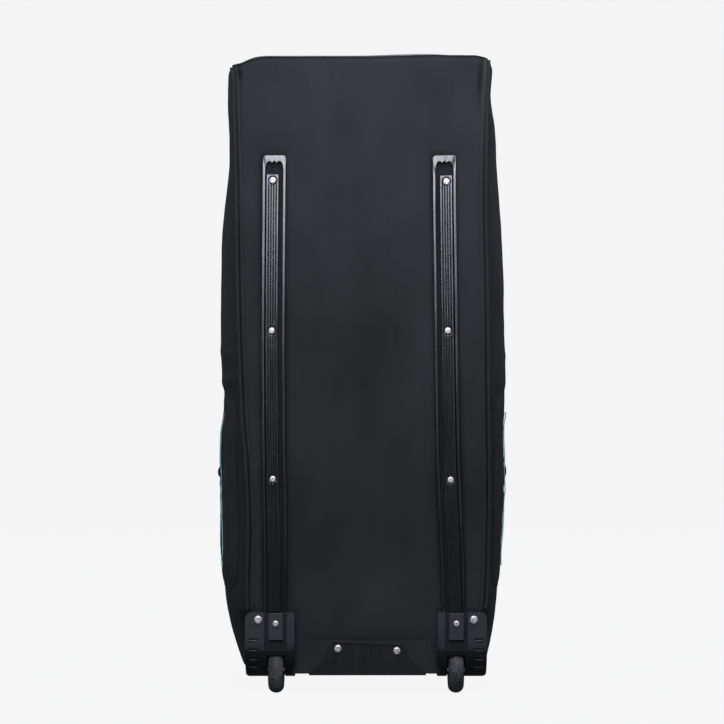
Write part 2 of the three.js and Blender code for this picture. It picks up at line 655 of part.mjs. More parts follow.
function housing(side) {
  const sign = SIDES[side];
  const low = Math.min(innerX(side), outerX(side));
  const high = Math.max(innerX(side), outerX(side));
  const span = (shape, a, b) => solid(alongX(shape, Math.min(a, b), Math.max(a, b), 4));

  const flangeBack = BACK_Y - SEAT;
  const heel = heelOutline(0);
  heel.lineTo(HOUSING_FRONT, SHOULDER_Z);
  heel.lineTo(flangeBack, SHOULDER_Z);
  heel.lineTo(flangeBack, HOUSING_TOP);
  heel.lineTo(HOUSING_FACE, HOUSING_TOP);
  let body = span(heel, low, high);
  body = body.add(span(gussetOutline(), outerX(side), outerX(side) - sign * GUSSET_WALL));

  const corners = sign < 0 ? [8, 4, 4, 11] : [4, 8, 11, 4];
  const face = roundedRectangle(low, high, HOUSING_BASE, HOUSING_TOP, corners);
  body = body.intersect(solid(alongY(face, HOUSING_FACE - 1, HOUSING_FRONT + 1, 2)));

  const wellHalf = WHEEL_WIDTH / 2 + WELL_SIDE_GAP;
  const well = cylinderX(WHEEL_RADIUS + WELL_CLEARANCE, 2 * wellHalf, WHEEL_SIDES);
  body = body.subtract(solid(well.translate(wheelX(side), AXLE_Y, WHEEL_RADIUS)));
  const axle = cylinderX(AXLE_RADIUS + SEAT, 2 * (wellHalf + WELL_WALL), 12);
  body = body.subtract(solid(axle.translate(wheelX(side), AXLE_Y, WHEEL_RADIUS)));

  // The two hollow boxes beside the wheel well, open to the inside of the bag
  const hollow = heelOutline(HOUSING_WALL);
  hollow.lineTo(HOUSING_FRONT - HOUSING_WALL, HOUSING_BASE + HEEL_RADIUS);
  const beside = wellHalf + WELL_WALL;
  const outerWall = outerX(side) - sign * HOUSING_WALL;
  const innerWall = innerX(side) + sign * HOUSING_WALL;
  body = body.subtract(span(hollow, wheelX(side) + sign * beside, outerWall));
  body = body.subtract(span(hollow, innerWall, wheelX(side) - sign * beside));

  // The recess that takes the rail's foot
  const halfRecess = RECESS.width / 2;
  const recess = box(
    railFootX(side) - halfRecess,
    railFootX(side) + halfRecess,
    HOUSING_FACE - 1,
    HOUSING_FACE + RECESS.depth,
    HOUSING_BASE + RECESS.bottom,
    HOUSING_TOP + 1,
  );
  body = body.subtract(solid(recess));

  // Louvres down the outer edge, evenly spaced along the face and round the heel
  const heelY = HOUSING_FACE + HEEL_RADIUS;
  const heelZ = HOUSING_BASE + HEEL_RADIUS;
  const louvreX = midline(BASE_Z) + sign * LOUVRE.x;
  for (let i = 0; i < LOUVRE.count; i += 1) {
    const run = (i - 0.4) * LOUVRE.pitch;
    const turn = Math.max(0, run / HEEL_RADIUS);
    const cut = box(-LOUVRE.width / 2, LOUVRE.width / 2, -1, LOUVRE.depth, 0, LOUVRE.height);
    cut.translate(0, -HEEL_RADIUS, Math.max(0, -run) - LOUVRE.height / 2);
    cut.rotateX(turn);
    body = body.subtract(solid(cut.translate(louvreX, heelY, heelZ)));
  }

  body = body.subtract(screwHole(housingScrewX(side), HOUSING_FACE, HOUSING_SCREW_Z, SCREWS.housing));
  const blockFloor = HOUSING_FACE + RECESS.depth;
  body = body.subtract(screwHole(railFootX(side), blockFloor, blockScrewZ(), SCREWS.block));
  return geometryOf(body);
}

const blockTop = () => HOUSING_TOP - 1.2;
const blockScrewZ = () => blockTop() - BLOCK.length * 0.38;

function screw(size) {
  const { head, height, shank, length } = size;
  const outline = [
    [0, length], [shank, length], [shank, 0], [head, 0],
    [head, -height * 0.4], [head * 0.62, -height], [0, -height],
  ];
  const points = outline.map(([x, y]) => new THREE.Vector2(x, y)).reverse();
  return new THREE.LatheGeometry(points, 10);
}

function endBlock(side) {
  const half = BLOCK.width / 2;
  const c = BLOCK.corner;
  const shape = roundedRectangle(-half, half, blockTop() - BLOCK.length, blockTop(), [c, c, c, c]);
  const floor = HOUSING_FACE + RECESS.depth - SEAT;
  const block = solid(alongY(shape, floor - BLOCK.height, floor, 2).translate(railFootX(side), 0, 0));
  const through = cylinderY(SCREWS.block.shank + SEAT, 4 * BLOCK.height, 10);
  return geometryOf(block.subtract(solid(through.translate(railFootX(side), floor, blockScrewZ()))));
}

// A rail, in its own frame: x across, -y away from the bag, z up from the housing's top.
function railChannel() {
  const half = CHANNEL.width / 2;
  const bed = half - CHANNEL.rim;
  const c = CHANNEL.corner;
  const outline = roundedRectangle(-half, half, 0, RAIL_LENGTH, [0.5, 0.5, c, c]);
  const body = solid(alongY(outline, -CHANNEL.height, 0, 3));
  const top = RAIL_LENGTH - CHANNEL.end;
  const big = bed * 0.4;
  const small = bed * 0.2;
  const bedShape = new THREE.Shape();
  bedShape.moveTo(bed, -1);
  bedShape.lineTo(bed, top - big);
  bedShape.absarc(bed - big, top - big, big, 0, Math.PI, false);
  bedShape.absarc(0, top - big, small, 0, Math.PI, false);
  bedShape.absarc(big - bed, top - big, big, 0, Math.PI, false);
  bedShape.lineTo(-bed, -1);
  return geometryOf(body.subtract(solid(alongY(bedShape, -2 * CHANNEL.height, -CHANNEL.floor, 3))));
}

function railBar() {
  const half = BAR.width / 2;
  const shape = new THREE.Shape();
  shape.moveTo(-half, 0);
  shape.lineTo(half, 0);
  const ribs = BAR.ribs;
  const pitch = BAR.width / ribs;
  for (let i = 0; i < ribs; i += 1) {
    const right = half - i * pitch;
    shape.lineTo(right, -(BAR.height - BAR.groove));
    shape.lineTo(right - pitch * 0.2, -BAR.height);
    shape.lineTo(right - pitch * 0.8, -BAR.height);
  }
  shape.lineTo(-half, -(BAR.height - BAR.groove));
  let bar = solid(extrude(shape, BAR.length));
  bar = bar.add(solid(box(-half, half, -BAR.height, -1, BAR.length - BAR.pad, BAR.length)));
  RAIL_SCREWS.forEach((share) => {
    const z = share * BAR.length;
    const bore = cylinderY(COUNTERBORE.radius, 2 * COUNTERBORE.depth, 12);
    bar = bar.subtract(solid(bore.translate(0, -BAR.height, z)));
    bar = bar.subtract(screwHole(0, -BAR.height + COUNTERBORE.depth, z, SCREWS.rail));
  });
  return geometryOf(bar);
}

function addRail(side) {
  const sign = SIDES[side];
  const rail = new THREE.Group();
  const low = HOUSING_TOP + SEAT + SEAM_GAP;
  const barX = (z, spread) => midline(z) + RAIL_SHIFT + (sign * spread) / 2;
  const footX = barX(low, RAIL_SPREAD.foot);
  const headX = barX(low + BAR.length, RAIL_SPREAD.head);
  rail.position.set(footX - sign * BAR.offset, BACK_Y - SEAT, low);
  rail.rotation.y = Math.atan2(headX - footX, BAR.length);
  bag.add(rail);
  add(rail, `rail_channel_${side}`, railChannel(), MATERIALS.plastic);

  const bed = -CHANNEL.floor - SEAT;
  const bar = new THREE.Group();
  bar.position.set(sign * BAR.offset, bed, 0);
  rail.add(bar);
  add(bar, `rail_bar_${side}`, railBar(), MATERIALS.plastic);
  RAIL_SCREWS.forEach((share, i) => {
    const name = `rail_screw_${side}_${i + 1}`;
    const mesh = add(bar, name, screw(SCREWS.rail), MATERIALS.steel);
    mesh.position.set(0, -BAR.height + COUNTERBORE.depth - SEAT, share * BAR.length);
  });
}

function guardPlate() {
  const x = guardX();
  const tip = GUARD.tips / 2;
  const top = GUARD.top / 2;
  const low = BASE_Z - GUARD.drop;
  const high = low + GUARD.height;
  const face = new THREE.Shape();
  face.moveTo(x - tip, low);
  face.lineTo(x + tip, low);
  face.lineTo(x + tip, low + GUARD.wall + 1);
  const slope = GUARD.tilt * top;
  face.quadraticCurveTo(x + top + 12, low + 14, x + top + 4, high - slope - 12);
  face.quadraticCurveTo(x + top + 2, high - slope, x + top - 6, high - slope);
  face.lineTo(x - top + 6, high + slope);
  face.quadraticCurveTo(x - top - 2, high + slope, x - top - 4, high + slope - 12);
  face.quadraticCurveTo(x - top - 12, low + 14, x - tip, low + GUARD.wall + 1);
  const back = BACK_Y - SEAT;
  let plate = solid(alongY(face, back - GUARD.wall, back, 5));
  const lipShape = roundedRectangle(4 - top, top - 4, -3.4, -0.4, [1, 1, 1, 1]);
  const lip = alongY(lipShape, back - GUARD.wall - GUARD.lip, back - 1, 2);
  plate = plate.add(solid(lip.rotateY(Math.atan(GUARD.tilt)).translate(x, 0, high)));
  const sole = new THREE.Shape();
  sole.moveTo(x - tip, back - GUARD.wall);
  sole.lineTo(x + tip, back - GUARD.wall);
  sole.lineTo(x + tip * 0.86, BACK_Y + GUARD.run);
  sole.lineTo(x - tip * 0.86, BACK_Y + GUARD.run);
  plate = plate.add(solid(extrude(sole, GUARD.drop - SEAT).translate(0, 0, low)));
  guardScrewXs().forEach((at) => {
    const hole = cylinderY(SCREWS.guard.shank + SEAT, 4 * GUARD.wall, 10);
    plate = plate.subtract(solid(hole.translate(at, back - GUARD.wall, guardScrewZ(at))));
  });
  return geometryOf(plate);
}

const guardX = () => midline(BASE_Z) + GUARD.shift;
const guardScrewXs = () => [-1, 1].map((sign) => guardX() + sign * GUARD.top * 0.4);
const guardScrewZ = (x) =>
  BASE_Z - GUARD.drop + GUARD.height * 0.77 - GUARD.tilt * (x - guardX());

// A wheel's turned section: half of it across, mirrored, with flats of the rolling radius.
const WHEEL_SIDES = 24;
function turned(rows, sides) {
  const points = rows.map(([radius, x]) => new THREE.Vector2(radius, x));
  points.push(points[0].clone());
  const start = Math.PI / sides;
  return new THREE.LatheGeometry(points, sides, start).rotateZ(-Math.PI / 2);
}

function addWheel(side) {
  const wheel = new THREE.Group();
  wheel.position.set(wheelX(side), AXLE_Y, WHEEL_RADIUS);
  bag.add(wheel);
  const round = WHEEL_RADIUS / Math.cos(Math.PI / WHEEL_SIDES);
  const half = WHEEL_WIDTH / 2;
  const crown = round - HUB_RADIUS;
  const tyre = [
    [HUB_RADIUS + SEAT, -half * 0.92], [round - crown * 0.35, -half],
    [round - crown * 0.08, -half * 0.66], [round, -half * 0.3],
    [round, half * 0.3], [round - crown * 0.08, half * 0.66],
    [round - crown * 0.35, half], [HUB_RADIUS + SEAT, half * 0.92],
  ];
  add(wheel, `wheel_tyre_${side}`, turned(tyre, WHEEL_SIDES), MATERIALS.rubber);
  const bore = AXLE_RADIUS + SEAT;
  const hub = [
    [bore, -half * 0.95], [bore * 2.4, -half * 0.95],
    [HUB_RADIUS * 0.78, -half * 0.5], [HUB_RADIUS, -half * 0.85],
    [HUB_RADIUS, half * 0.85], [HUB_RADIUS * 0.78, half * 0.5],
    [bore * 2.4, half * 0.95], [bore, half * 0.95],
  ];
  add(wheel, `wheel_hub_${side}`, turned(hub, WHEEL_SIDES), MATERIALS.plastic);
}

function addAxle(side) {
  const length = 2 * (WHEEL_WIDTH / 2 + WELL_SIDE_GAP + WELL_WALL);
  const axle = add(bag, `wheel_axle_${side}`, cylinderX(AXLE_RADIUS, length, 12), MATERIALS.steel);
  axle.position.set(wheelX(side), AXLE_Y, WHEEL_RADIUS);
}

function addFoot(side) {
  const height = BASE_Z - SEAT;
  const { radius, sole } = FOOT;
  const outline = [
    [0, 0], [sole, 0], [radius * 0.93, height * 0.12],
    [radius * 0.93, height * 0.7], [radius * 1.2, height], [0, height],
  ];
  const points = outline.map(([x, y]) => new THREE.Vector2(x, y));
  const foot = new THREE.LatheGeometry(points, 12).rotateX(Math.PI / 2);
  const mesh = add(bag, `front_foot_${side}`, foot, MATERIALS.plastic);
  mesh.position.set(midline(BASE_Z) + SIDES[side] * FOOT.x, FOOT.y, 0);
}

// The assembly
add(bag, 'back_panel', backPanel(), MATERIALS.fabric);
add(bag, 'top_panel', topPanel(), MATERIALS.fabric);
add(bag, 'base_panel', basePanel(), MATERIALS.fabric);
const front = frontPieces();
add(bag, 'front_border', front.border, MATERIALS.fabric);
add(bag, 'lid_panel', front.lid, MATERIALS.fabric);
add(bag, 'main_zip', front.chain, MATERIALS.zip);
addMainSlider('main_zip_left', -1);
addMainSlider('main_zip_right', 1);
add(bag, 'pull_handle', pullHandle(), MATERIALS.webbing);
add(bag, 'guard_plate', guardPlate(), MATERIALS.plastic);
guardScrewXs().forEach((x, i) => {
  const mesh = add(bag, `guard_screw_${i + 1}`, screw(SCREWS.guard), MATERIALS.steel);
  mesh.position.set(x, BACK_Y - GUARD.wall - 2 * SEAT, guardScrewZ(x));
});
Object.keys(SIDES).forEach((side) => {
  add(bag, `side_panel_${side}`, sidePanel(side), MATERIALS.fabric);
  add(bag, `piping_${side}`, pipingCord(side), MATERIALS.piping);
  add(bag, `side_pocket_${side}`, sidePocket(side), MATERIALS.fabric);
  add(bag, `side_zip_${side}`, sideZip(side), MATERIALS.accent);
  add(bag, `side_zip_pull_${side}`, sideZipPull(side), MATERIALS.zip);
  add(bag, `wheel_housing_${side}`, housing(side), MATERIALS.plastic);
  const big = add(bag, `housing_screw_${side}`, screw(SCREWS.housing), MATERIALS.steel);
  big.position.set(housingScrewX(side), HOUSING_FACE - SEAT, HOUSING_SCREW_Z);
  add(bag, `rail_block_${side}`, endBlock(side), MATERIALS.plastic);
  const small = add(bag, `block_screw_${side}`, screw(SCREWS.block), MATERIALS.steel);
  const blockFace = HOUSING_FACE + RECESS.depth - SEAT - BLOCK.height;
  small.position.set(railFootX(side), blockFace - SEAT, blockScrewZ());
  addRail(side);
  addAxle(side);
  addWheel(side);
  addFoot(side);
});

export default bag;
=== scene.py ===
import math
from functools import reduce

import bmesh
import bpy
import numpy as np
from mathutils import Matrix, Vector, noise
from mathutils.bvhtree import BVHTree


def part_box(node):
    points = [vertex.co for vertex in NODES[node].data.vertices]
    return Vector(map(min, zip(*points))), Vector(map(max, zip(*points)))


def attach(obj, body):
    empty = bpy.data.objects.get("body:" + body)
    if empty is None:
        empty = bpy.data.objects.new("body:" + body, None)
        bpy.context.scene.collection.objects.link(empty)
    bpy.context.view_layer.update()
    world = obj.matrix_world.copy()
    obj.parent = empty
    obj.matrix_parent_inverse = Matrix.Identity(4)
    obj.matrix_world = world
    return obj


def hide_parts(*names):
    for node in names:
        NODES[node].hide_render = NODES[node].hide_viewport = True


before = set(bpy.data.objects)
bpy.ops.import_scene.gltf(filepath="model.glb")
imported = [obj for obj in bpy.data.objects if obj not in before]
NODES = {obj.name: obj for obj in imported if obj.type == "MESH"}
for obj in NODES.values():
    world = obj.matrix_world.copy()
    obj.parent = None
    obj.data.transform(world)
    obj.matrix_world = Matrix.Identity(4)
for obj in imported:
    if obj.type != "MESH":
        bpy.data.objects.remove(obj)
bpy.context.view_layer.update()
SIDES = {"left": -1, "right": 1}
MM = 0.001


def mm(**sizes):
    """Named sizes in millimetres, turned to metres."""
    return {key: value * MM for key, value in sizes.items()}


# Camera, level with the middle of the bag
CAMERA = {"place": (-1.5 * MM, -3550 * MM, 488.5 * MM), "lens": 114.9}

# Cloth grids: cells up the bag, from back to front and across
ROWS = 280
DEEP = 92
WIDE = 116
EDGE_CROWD = 0.6
FACET_BLUR = 16 * MM

# Cloth forms
SEAM_PUFF = mm(height=1.2, reach=6)
PANEL_PUFF = mm(height=2.4, reach=15)
STITCH = mm(pitch=4.6, length=3.3, width=0.7, height=0.4)
PIPING_RADIUS = 2.5 * MM
# Radius of the dark cord that paints the rear top seam's shadow
TOP_SHADOW_CORD_RADIUS = 1.1 * MM
PIPING_STITCH_INSET = 7 * MM
TOP_STITCH_DROP = 5.5 * MM
SIDE_STITCH_INSET = 13 * MM
RAIL_HALF = 17 * MM

# How far the rear top seam rises above the solid's, from its left end to its right end
TOP_RISE = (
    (0.0, 3.0), (0.026, 5.6), (0.058, 6.0), (0.09, 5.0), (0.125, 4.0), (0.19, 3.2),
    (0.41, 3.0), (0.65, 2.4), (0.855, 3.0), (0.95, 5.0), (0.982, 3.2), (1.0, 0.5),
)

# How far the hold on that seam reaches, and on its left corner, which is pulled outwards
SEAM_HOLD = mm(deep=26, down=30)
CORNER_HOLD = mm(across=14, deep=20, down=20)
CORNER_PULL = 5.0 * MM

# How far a side seam stands outside the solid's, by height
SEAM_PULL = {
    "left": ((120, 0.0), (200, 1.2), (350, 1.8), (390, 4.2), (600, 4.4), (760, 4.2), (840, 6.2), (925, 7.0)),
    "right": ((120, 0.0), (200, 0.0), (280, 0.6), (500, 0.9), (700, 0.0), (925, 0.0)),
}

# How far a side's cloth sinks between its seams, by height
SIDE_SINK = {
    "left": ((300, 0.0), (385, 0.4), (405, 3.4), (440, 3.2), (460, 0.6), (800, 1.0), (840, 1.6), (930, 0.6)),
    "right": (
        (100, 0.0), (150, 1.6), (190, 4.4), (240, 3.0), (300, 2.2), (370, 3.4), (410, 4.6), (432, 3.0),
        (455, 0.2), (500, 2.4), (600, 1.6), (700, 2.0), (790, 3.6), (850, 1.6), (890, 3.2), (915, 2.4),
        (935, 0.0),
    ),
}

# Rails, across, along and away from the cloth
CHANNEL = mm(half=17.9, rim=5.3, height=8, end=10, corner=5.5, slope=2.2)
CHANNEL_TEETH = mm(apart=3.5, reach=2.3, width=0.85, shoulder=5.5, drop=13)
BAR = mm(half=9.2, height=11, offset=2.2, groove=0.6)
BAR_RIBS = 5
BAR_LENGTH = mm(left=641.7, right=640.3)

# How far a rail bows to the right, by its share from foot to head, in millimetres
RAIL_BOW = {
    "left": ((0.0, 0.0), (0.12, 0.6), (0.36, -1.2), (0.58, -1.5), (0.8, 0.3), (0.92, 1.3), (1.0, 2.2)),
    "right": (
        (0.0, 0.0), (0.12, 0.0), (0.25, -2.2), (0.36, -2.8), (0.58, -1.5), (0.8, 0.2), (0.92, 1.0),
        (1.0, 2.2),
    ),
}
BAR_PAD = 15 * MM
COUNTERBORE = mm(radius=6.2, depth=1.4)

# How much lower than its solid a rail screw sits
SCREW_DROP = mm(rail_screw_left_3=1.4, rail_screw_right_3=3.1, rail_screw_left_1=-1.2)

# Screw heads, in shares of their radius and height
SCREW = {"rings": 17, "around": 48, "dome": 0.24, "recess": 0.62, "slot": (0.13, 0.56)}

# Louvres on the housings' outer halves
LOUVRE = mm(width=15, height=4.8, proud=1.6)
LOUVRE_HEIGHTS = [z * MM for z in (79.4, 64.9, 51.2, 39.3)]

# Pockets
POCKET = mm(low=152, high=438, half=107, corner=26, puff=2.2)
BINDING = mm(width=7, height=0.8)
COIL = mm(pitch=1.6, width=3.4, height=1.1)

# How far a pocket zip stands proud of its pocket, by height
ZIP_LIFT = {
    "left": ((200, 0.0), (322, 0.4), (330, 1.8), (350, 1.6), (376, 0.9), (386, 0.0), (440, 0.0)),
    "right": ((200, 0.0), (292, 0.3), (330, 0.3), (342, 0.0), (402, 0.0), (414, 1.0), (440, 0.6)),
}

# Main zip
LID = {"corner": 55 * MM, "lean": -12.4 / 904.5}

WEAVE_PITCH = 0.85 * MM


# Smooth numbers

def blur(values, along, across):
    """Gaussian smoothing of a grid that leaves its rim in place. The two spreads are in cells."""
    for axis, spread in ((0, along), (1, across)):
        radius = int(3 * spread)
        if radius < 1:
            continue
        steps = np.arange(-radius, radius + 1)
        kernel = np.exp(-0.5 * (steps / spread) ** 2)
        kernel /= kernel.sum()
        pad = [(0, 0), (0, 0)]
        pad[axis] = (radius, radius)
        wide = np.pad(values, pad, mode="reflect", reflect_type="odd")
        values = np.apply_along_axis(lambda line: np.convolve(line, kernel, "valid"), axis, wide)
    return values


def smooth_line(values, spread):
    """The same smoothing for one row of values."""
    return blur(np.tile(values, (3, 1)), 0, spread)[1]


def crowded(count):
    """Shares from 0 to 1 that lie closer together near both ends."""
    t = np.linspace(0, 1, count + 1)
    return EDGE_CROWD * (0.5 - 0.5 * np.cos(np.pi * t)) + (1 - EDGE_CROWD) * t


def mix(a, b, t):
    return a + (b - a) * t


def ripple(points, stretch, seed):
    """Noise from -1 to 1 at each point, with waves per metre along x, y and z."""
    flat = points.reshape(-1, 3) * np.array(stretch) + seed * 7.31
    values = [noise.noise(Vector(p)) for p in flat]
    return np.array(values).reshape(points.shape[:-1])


def crease(points, stretch, seed):
    """Narrow ridges from 0 to 1 where the noise passes through zero."""
    return (1 - np.minimum(1, np.abs(ripple(points, stretch, seed)) * 3.2)) ** 2


def fade(distance, reach):
    """1 at no distance, falling towards 0."""
    return np.exp(-np.maximum(distance, 0) / reach)


def dip(distance, spread):
    """A bell of height 1 round zero."""
    return np.exp(-0.5 * (distance / spread) ** 2)


def gate(distance, softness):
    """A soft step from 0 to 1 where a distance passes zero."""
    return 1 / (1 + np.exp(-np.clip(distance / softness, -60, 60)))


def nearest(*distances):
    return reduce(np.minimum, distances)


def run_along(points):
    """The distance run at each point of a line."""
    return np.concatenate([[0], np.cumsum(np.linalg.norm(np.diff(points, axis=0), axis=1))])


def read_at(values, run, at):
    """A line's values read at other runs than its own."""
    return np.stack([np.interp(at, run, column) for column in values.T], axis=1)


def arc(centre, radius, start, end, count):
    """Points along an arc. The angles are in degrees."""
    turn = np.radians(np.linspace(start, end, count))
    return np.stack([centre[0] + radius * np.cos(turn), centre[1] + radius * np.sin(turn)], axis=1)


def unit(vectors):
    return vectors / np.maximum(np.linalg.norm(vectors, axis=-1, keepdims=True), 1e-12)


def grid_normals(points, toward):
    """Unit normals of a grid surface, turned to look along a direction."""
    normal = unit(np.cross(np.gradient(points, axis=1), np.gradient(points, axis=0)))
    if (normal @ np.array(toward)).mean() < 0:
        normal = -normal
    return normal


# Reading the solids

def rays(*nodes):
    corners = []
    faces = []
    for node in nodes:
        mesh = NODES[node].data
        start = len(corners)
        corners += [v.co.copy() for v in mesh.vertices]
        faces += [[start + i for i in p.vertices] for p in mesh.polygons]
    return BVHTree.FromPolygons(corners, faces)


def corners_of(node):
    return np.array([v.co for v in NODES[node].data.vertices])


def hit(tree, origin, direction):
    return tree.ray_cast(Vector(origin), Vector(direction))[0]


def centre_of(node):
    low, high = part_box(node)
    return (low + high) / 2


BACK_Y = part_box("back_panel")[0].y
FRONT_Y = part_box("front_border")[0].y + 2 * MM
BASE_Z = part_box("base_panel")[0].z
SHOULDER_Z = 75.5 * MM
HOUSING_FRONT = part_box("wheel_housing_left")[1].y
HOUSING_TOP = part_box("wheel_housing_left")[1].z
INNER_X = {"left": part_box("wheel_housing_left")[1].x, "right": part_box("wheel_housing_right")[0].x}


# Making pieces

# How a face's four corners follow each other
FORTH = (0, 1, 2, 3)
BACK = (0, 3, 2, 1)

# Angles in degrees: edges that are rounded off, and edges that show as edges
ROUNDED_EDGE = 34
SHOWN_EDGE = 38
HARD_EDGE = 50


def piece(name, vertices, faces, material, body="bag", uv=None, replaces=(), wear=None, sharp=None):
    """A new mesh. wear holds painted shade, painted highlights and random tone for its cloth by point; sharp
    is the angle of its hard edges.
    """
    mesh = bpy.data.meshes.new(name)
    mesh.from_pydata(np.asarray(vertices, float).tolist(), [], faces)
    # The per-point attribute holds painted shade and painted highlights, along with random tone.
    if wear is not None:
        layer = mesh.attributes.new("wear", "FLOAT", "POINT")
        layer.data.foreach_set("value", np.asarray(wear, np.float32).ravel())
    if uv is not None:
        layer = mesh.uv_layers.new(name="metres")
        index = np.zeros(len(mesh.loops), np.int32)
        mesh.loops.foreach_get("vertex_index", index)
        layer.data.foreach_set("uv", np.asarray(uv, np.float32)[index].ravel())
    mesh.materials.append(material)
    mesh.shade_smooth()
    if sharp:
        mesh.set_sharp_from_angle(angle=math.radians(sharp))
    return added(name, mesh, body, replaces)


def added(name, mesh, body, replaces=()):
    made = bpy.data.objects.new(name, mesh)
    bpy.context.scene.collection.objects.link(made)
    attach(made, body)
    if replaces:
        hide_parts(*replaces)
    return made


def welded(made, distance, sharp):
    """Joins points that fall together and turns the faces outwards."""
    bm = bmesh.new()
    bm.from_mesh(made.data)
    bmesh.ops.remove_doubles(bm, verts=bm.verts, dist=distance)
    bmesh.ops.recalc_face_normals(bm, faces=bm.faces)
    bm.to_mesh(made.data)
    bm.free()
    made.data.shade_smooth()
    made.data.set_sharp_from_angle(angle=math.radians(sharp))
    return made


def grid_faces(rows, columns, keep=None, order=FORTH, loop=False, closed=False):
    """Faces of a grid of points. A loop joins each row's ends, and closed joins the last row to the first."""
    faces = []
    for i in range(rows if closed else rows - 1):
        here, after = i * columns, (i + 1) % rows * columns
        for j in range(columns if loop else columns - 1):
            if keep is None or keep[i, j]:
                beside = (j + 1) % columns
                corners = (here + j, here + beside, after + beside, after + j)
                faces.append(tuple(corners[k] for k in order))
    return faces


def caps(rows, columns):
    """The two faces that close a tube of rows."""
    return [tuple(range(columns)), tuple(reversed(range((rows - 1) * columns, rows * columns)))]


def band(name, points, outward, profile, material, closed=False, replaces=()):
    """A piece with a profile of (sideways, outward) offsets, carried along a path."""
    points, outward, profile = (np.asarray(values, float) for values in (points, outward, profile))
    tangent = np.roll(points, -1, 0) - np.roll(points, 1, 0) if closed else np.gradient(points, axis=0)
    tangent = unit(tangent)
    outward = unit(outward - tangent * (outward * tangent).sum(1, keepdims=True))
    side = np.cross(tangent, outward)
    ring = points[:, None] + side[:, None] * profile[None, :, :1] + outward[:, None] * profile[None, :, 1:]
    count, around = ring.shape[:2]
    faces = grid_faces(count, around, order=BACK, loop=True, closed=closed)
    if not closed:
        faces += caps(count, around)
    girth = np.linalg.norm(np.diff(profile, axis=0, append=profile[:1]), axis=1).cumsum()
    uv = np.stack([np.tile(girth, count), np.repeat(run_along(points), around)], axis=1)
    return piece(name, ring.reshape(-1, 3), faces, material, uv=uv, replaces=replaces)


def round_profile(radius, sides=12):
    return arc((0, 0), radius, 0, 360, sides + 1)[:-1]


def flat_profile(width, height, edge=0.35):
    """A flat band with rounded edges, lying on its path."""
    half = width / 2
    roll = height * edge
    return [
        (-half, 0.0), (half, 0.0), (half + roll * 0.4, height * 0.4), (half, height * 0.8),
        (half - roll, height), (0.0, height * 1.04), (-half + roll, height), (-half, height * 0.8),
        (-half - roll * 0.4, height * 0.4),
    ]


def spaced(points, outward, pitch, closed=False):
    """Points at an even pitch along a path, with their directions."""
    if closed:
        points = np.vstack([points, points[:1]])
        outward = np.vstack([outward, outward[:1]])
    run = run_along(points)
    count = max(2, int(run[-1] / pitch))
    at = (np.arange(count) + 0.5) * run[-1] / count
    spots, ups = read_at(points, run, at), unit(read_at(outward, run, at))
    along = unit(np.gradient(spots, axis=0))
    return spots, along, ups


def copies(name, template, template_faces, path, material):
    """One mesh of many small copies. The template is in (along, sideways, outward) offsets."""
    spots, along, ups = path
    frames = np.stack([along, np.cross(along, ups), ups], axis=1)
    placed = spots[:, None] + np.asarray(template, float) @ frames
    faces = []
    for i in range(len(spots)):
        faces += [tuple(i * len(template) + k for k in face) for face in template_faces]
    return piece(name, placed.reshape(-1, 3), faces, material)


def arched_template(length, width, height, lift=0.0):
    """A short rounded bar, such as a stitch or a zip coil's turn."""
    rows = []
    for t in (-1, -0.8, 0, 0.8, 1):
        rise = math.sqrt(max(0.0, 1 - t * t))
        thin = 0.35 + 0.65 * rise
        rows += [(t * length / 2, across * width / 2 * thin, lift + up * height * rise)
                 for across, up in ((-1, 0), (0, 1), (1, 0))]
    return rows, grid_faces(5, 3, order=BACK)


def stitches(name, points, outward, closed=False):
    rows, faces = arched_template(STITCH["length"], STITCH["width"], STITCH["height"], 0.1 * MM)
    return copies(name, rows, faces, spaced(points, outward, STITCH["pitch"], closed), THREAD)


def moulded(node, width, material, shade=None):
    """A hard piece in a CAD node's own form, with its sharp edges rounded. shade: a darker material that
    paints shade on its recessed faces.
    """
    bm = bmesh.new()
    bm.from_mesh(NODES[node].data)
    bmesh.ops.remove_doubles(bm, verts=bm.verts, dist=1e-5)
    bmesh.ops.dissolve_limit(bm, angle_limit=math.radians(1), verts=bm.verts, edges=bm.edges)
    sharp = [e for e in bm.edges if e.is_manifold and e.calc_face_angle() > math.radians(ROUNDED_EDGE)]
    bmesh.ops.bevel(
        bm, geom=sharp, offset=width, offset_type="OFFSET", segments=2, profile=0.6, affect="EDGES",
        clamp_overlap=True,
    )
    mesh = bpy.data.meshes.new(f"{node}_moulded")
    bm.to_mesh(mesh)
    bm.free()
    mesh.materials.clear()
    mesh.materials.append(material)
    if shade:
        mesh.materials.append(shade)
        low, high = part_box(node)
        for face in mesh.polygons:
            x, y, z = face.center
            inside = min(x - low.x, high.x - x, z - low.z, high.z - z) > 3 * MM
            # Recessed faces get the darker material: painted shade.
            face.material_index = int(inside and 0.8 * MM < y - low.y < 30 * MM)
    mesh.shade_smooth()
    mesh.set_sharp_from_angle(angle=math.radians(SHOWN_EDGE))
    made = added(f"{node}_moulded", mesh, "bag", [node])
    flat = made.modifiers.new("flat_faces", "WEIGHTED_NORMAL")
    flat.keep_sharp = True


def turned(name, rows, centre, axis, sides, material, body, replaces, bend=None):
    """A turned piece: (radius, place along the axis) rows, swept round an axis through a centre."""
    axis = Vector(axis).normalized()
    across = axis.orthogonal().normalized()
    third = axis.cross(across)
    vertices = []
    for radius, place in rows:
        for k in range(sides):
            turn = 2 * math.pi * k / sides
            r = radius if bend is None else bend(radius, place, turn)
            arm = across * math.cos(turn) + third * math.sin(turn)
            vertices.append(Vector(centre) + axis * place + arm * r)
    faces = grid_faces(len(rows), sides, loop=True)
    for cap, radius in zip(caps(len(rows), sides), (rows[0][0], rows[-1][0])):
        if radius > 0:
            faces.append(cap[::-1])
    made = piece(name, vertices, faces, material, body, replaces=[replaces])
    return welded(made, 0.001 * MM, SHOWN_EDGE)


# Materials

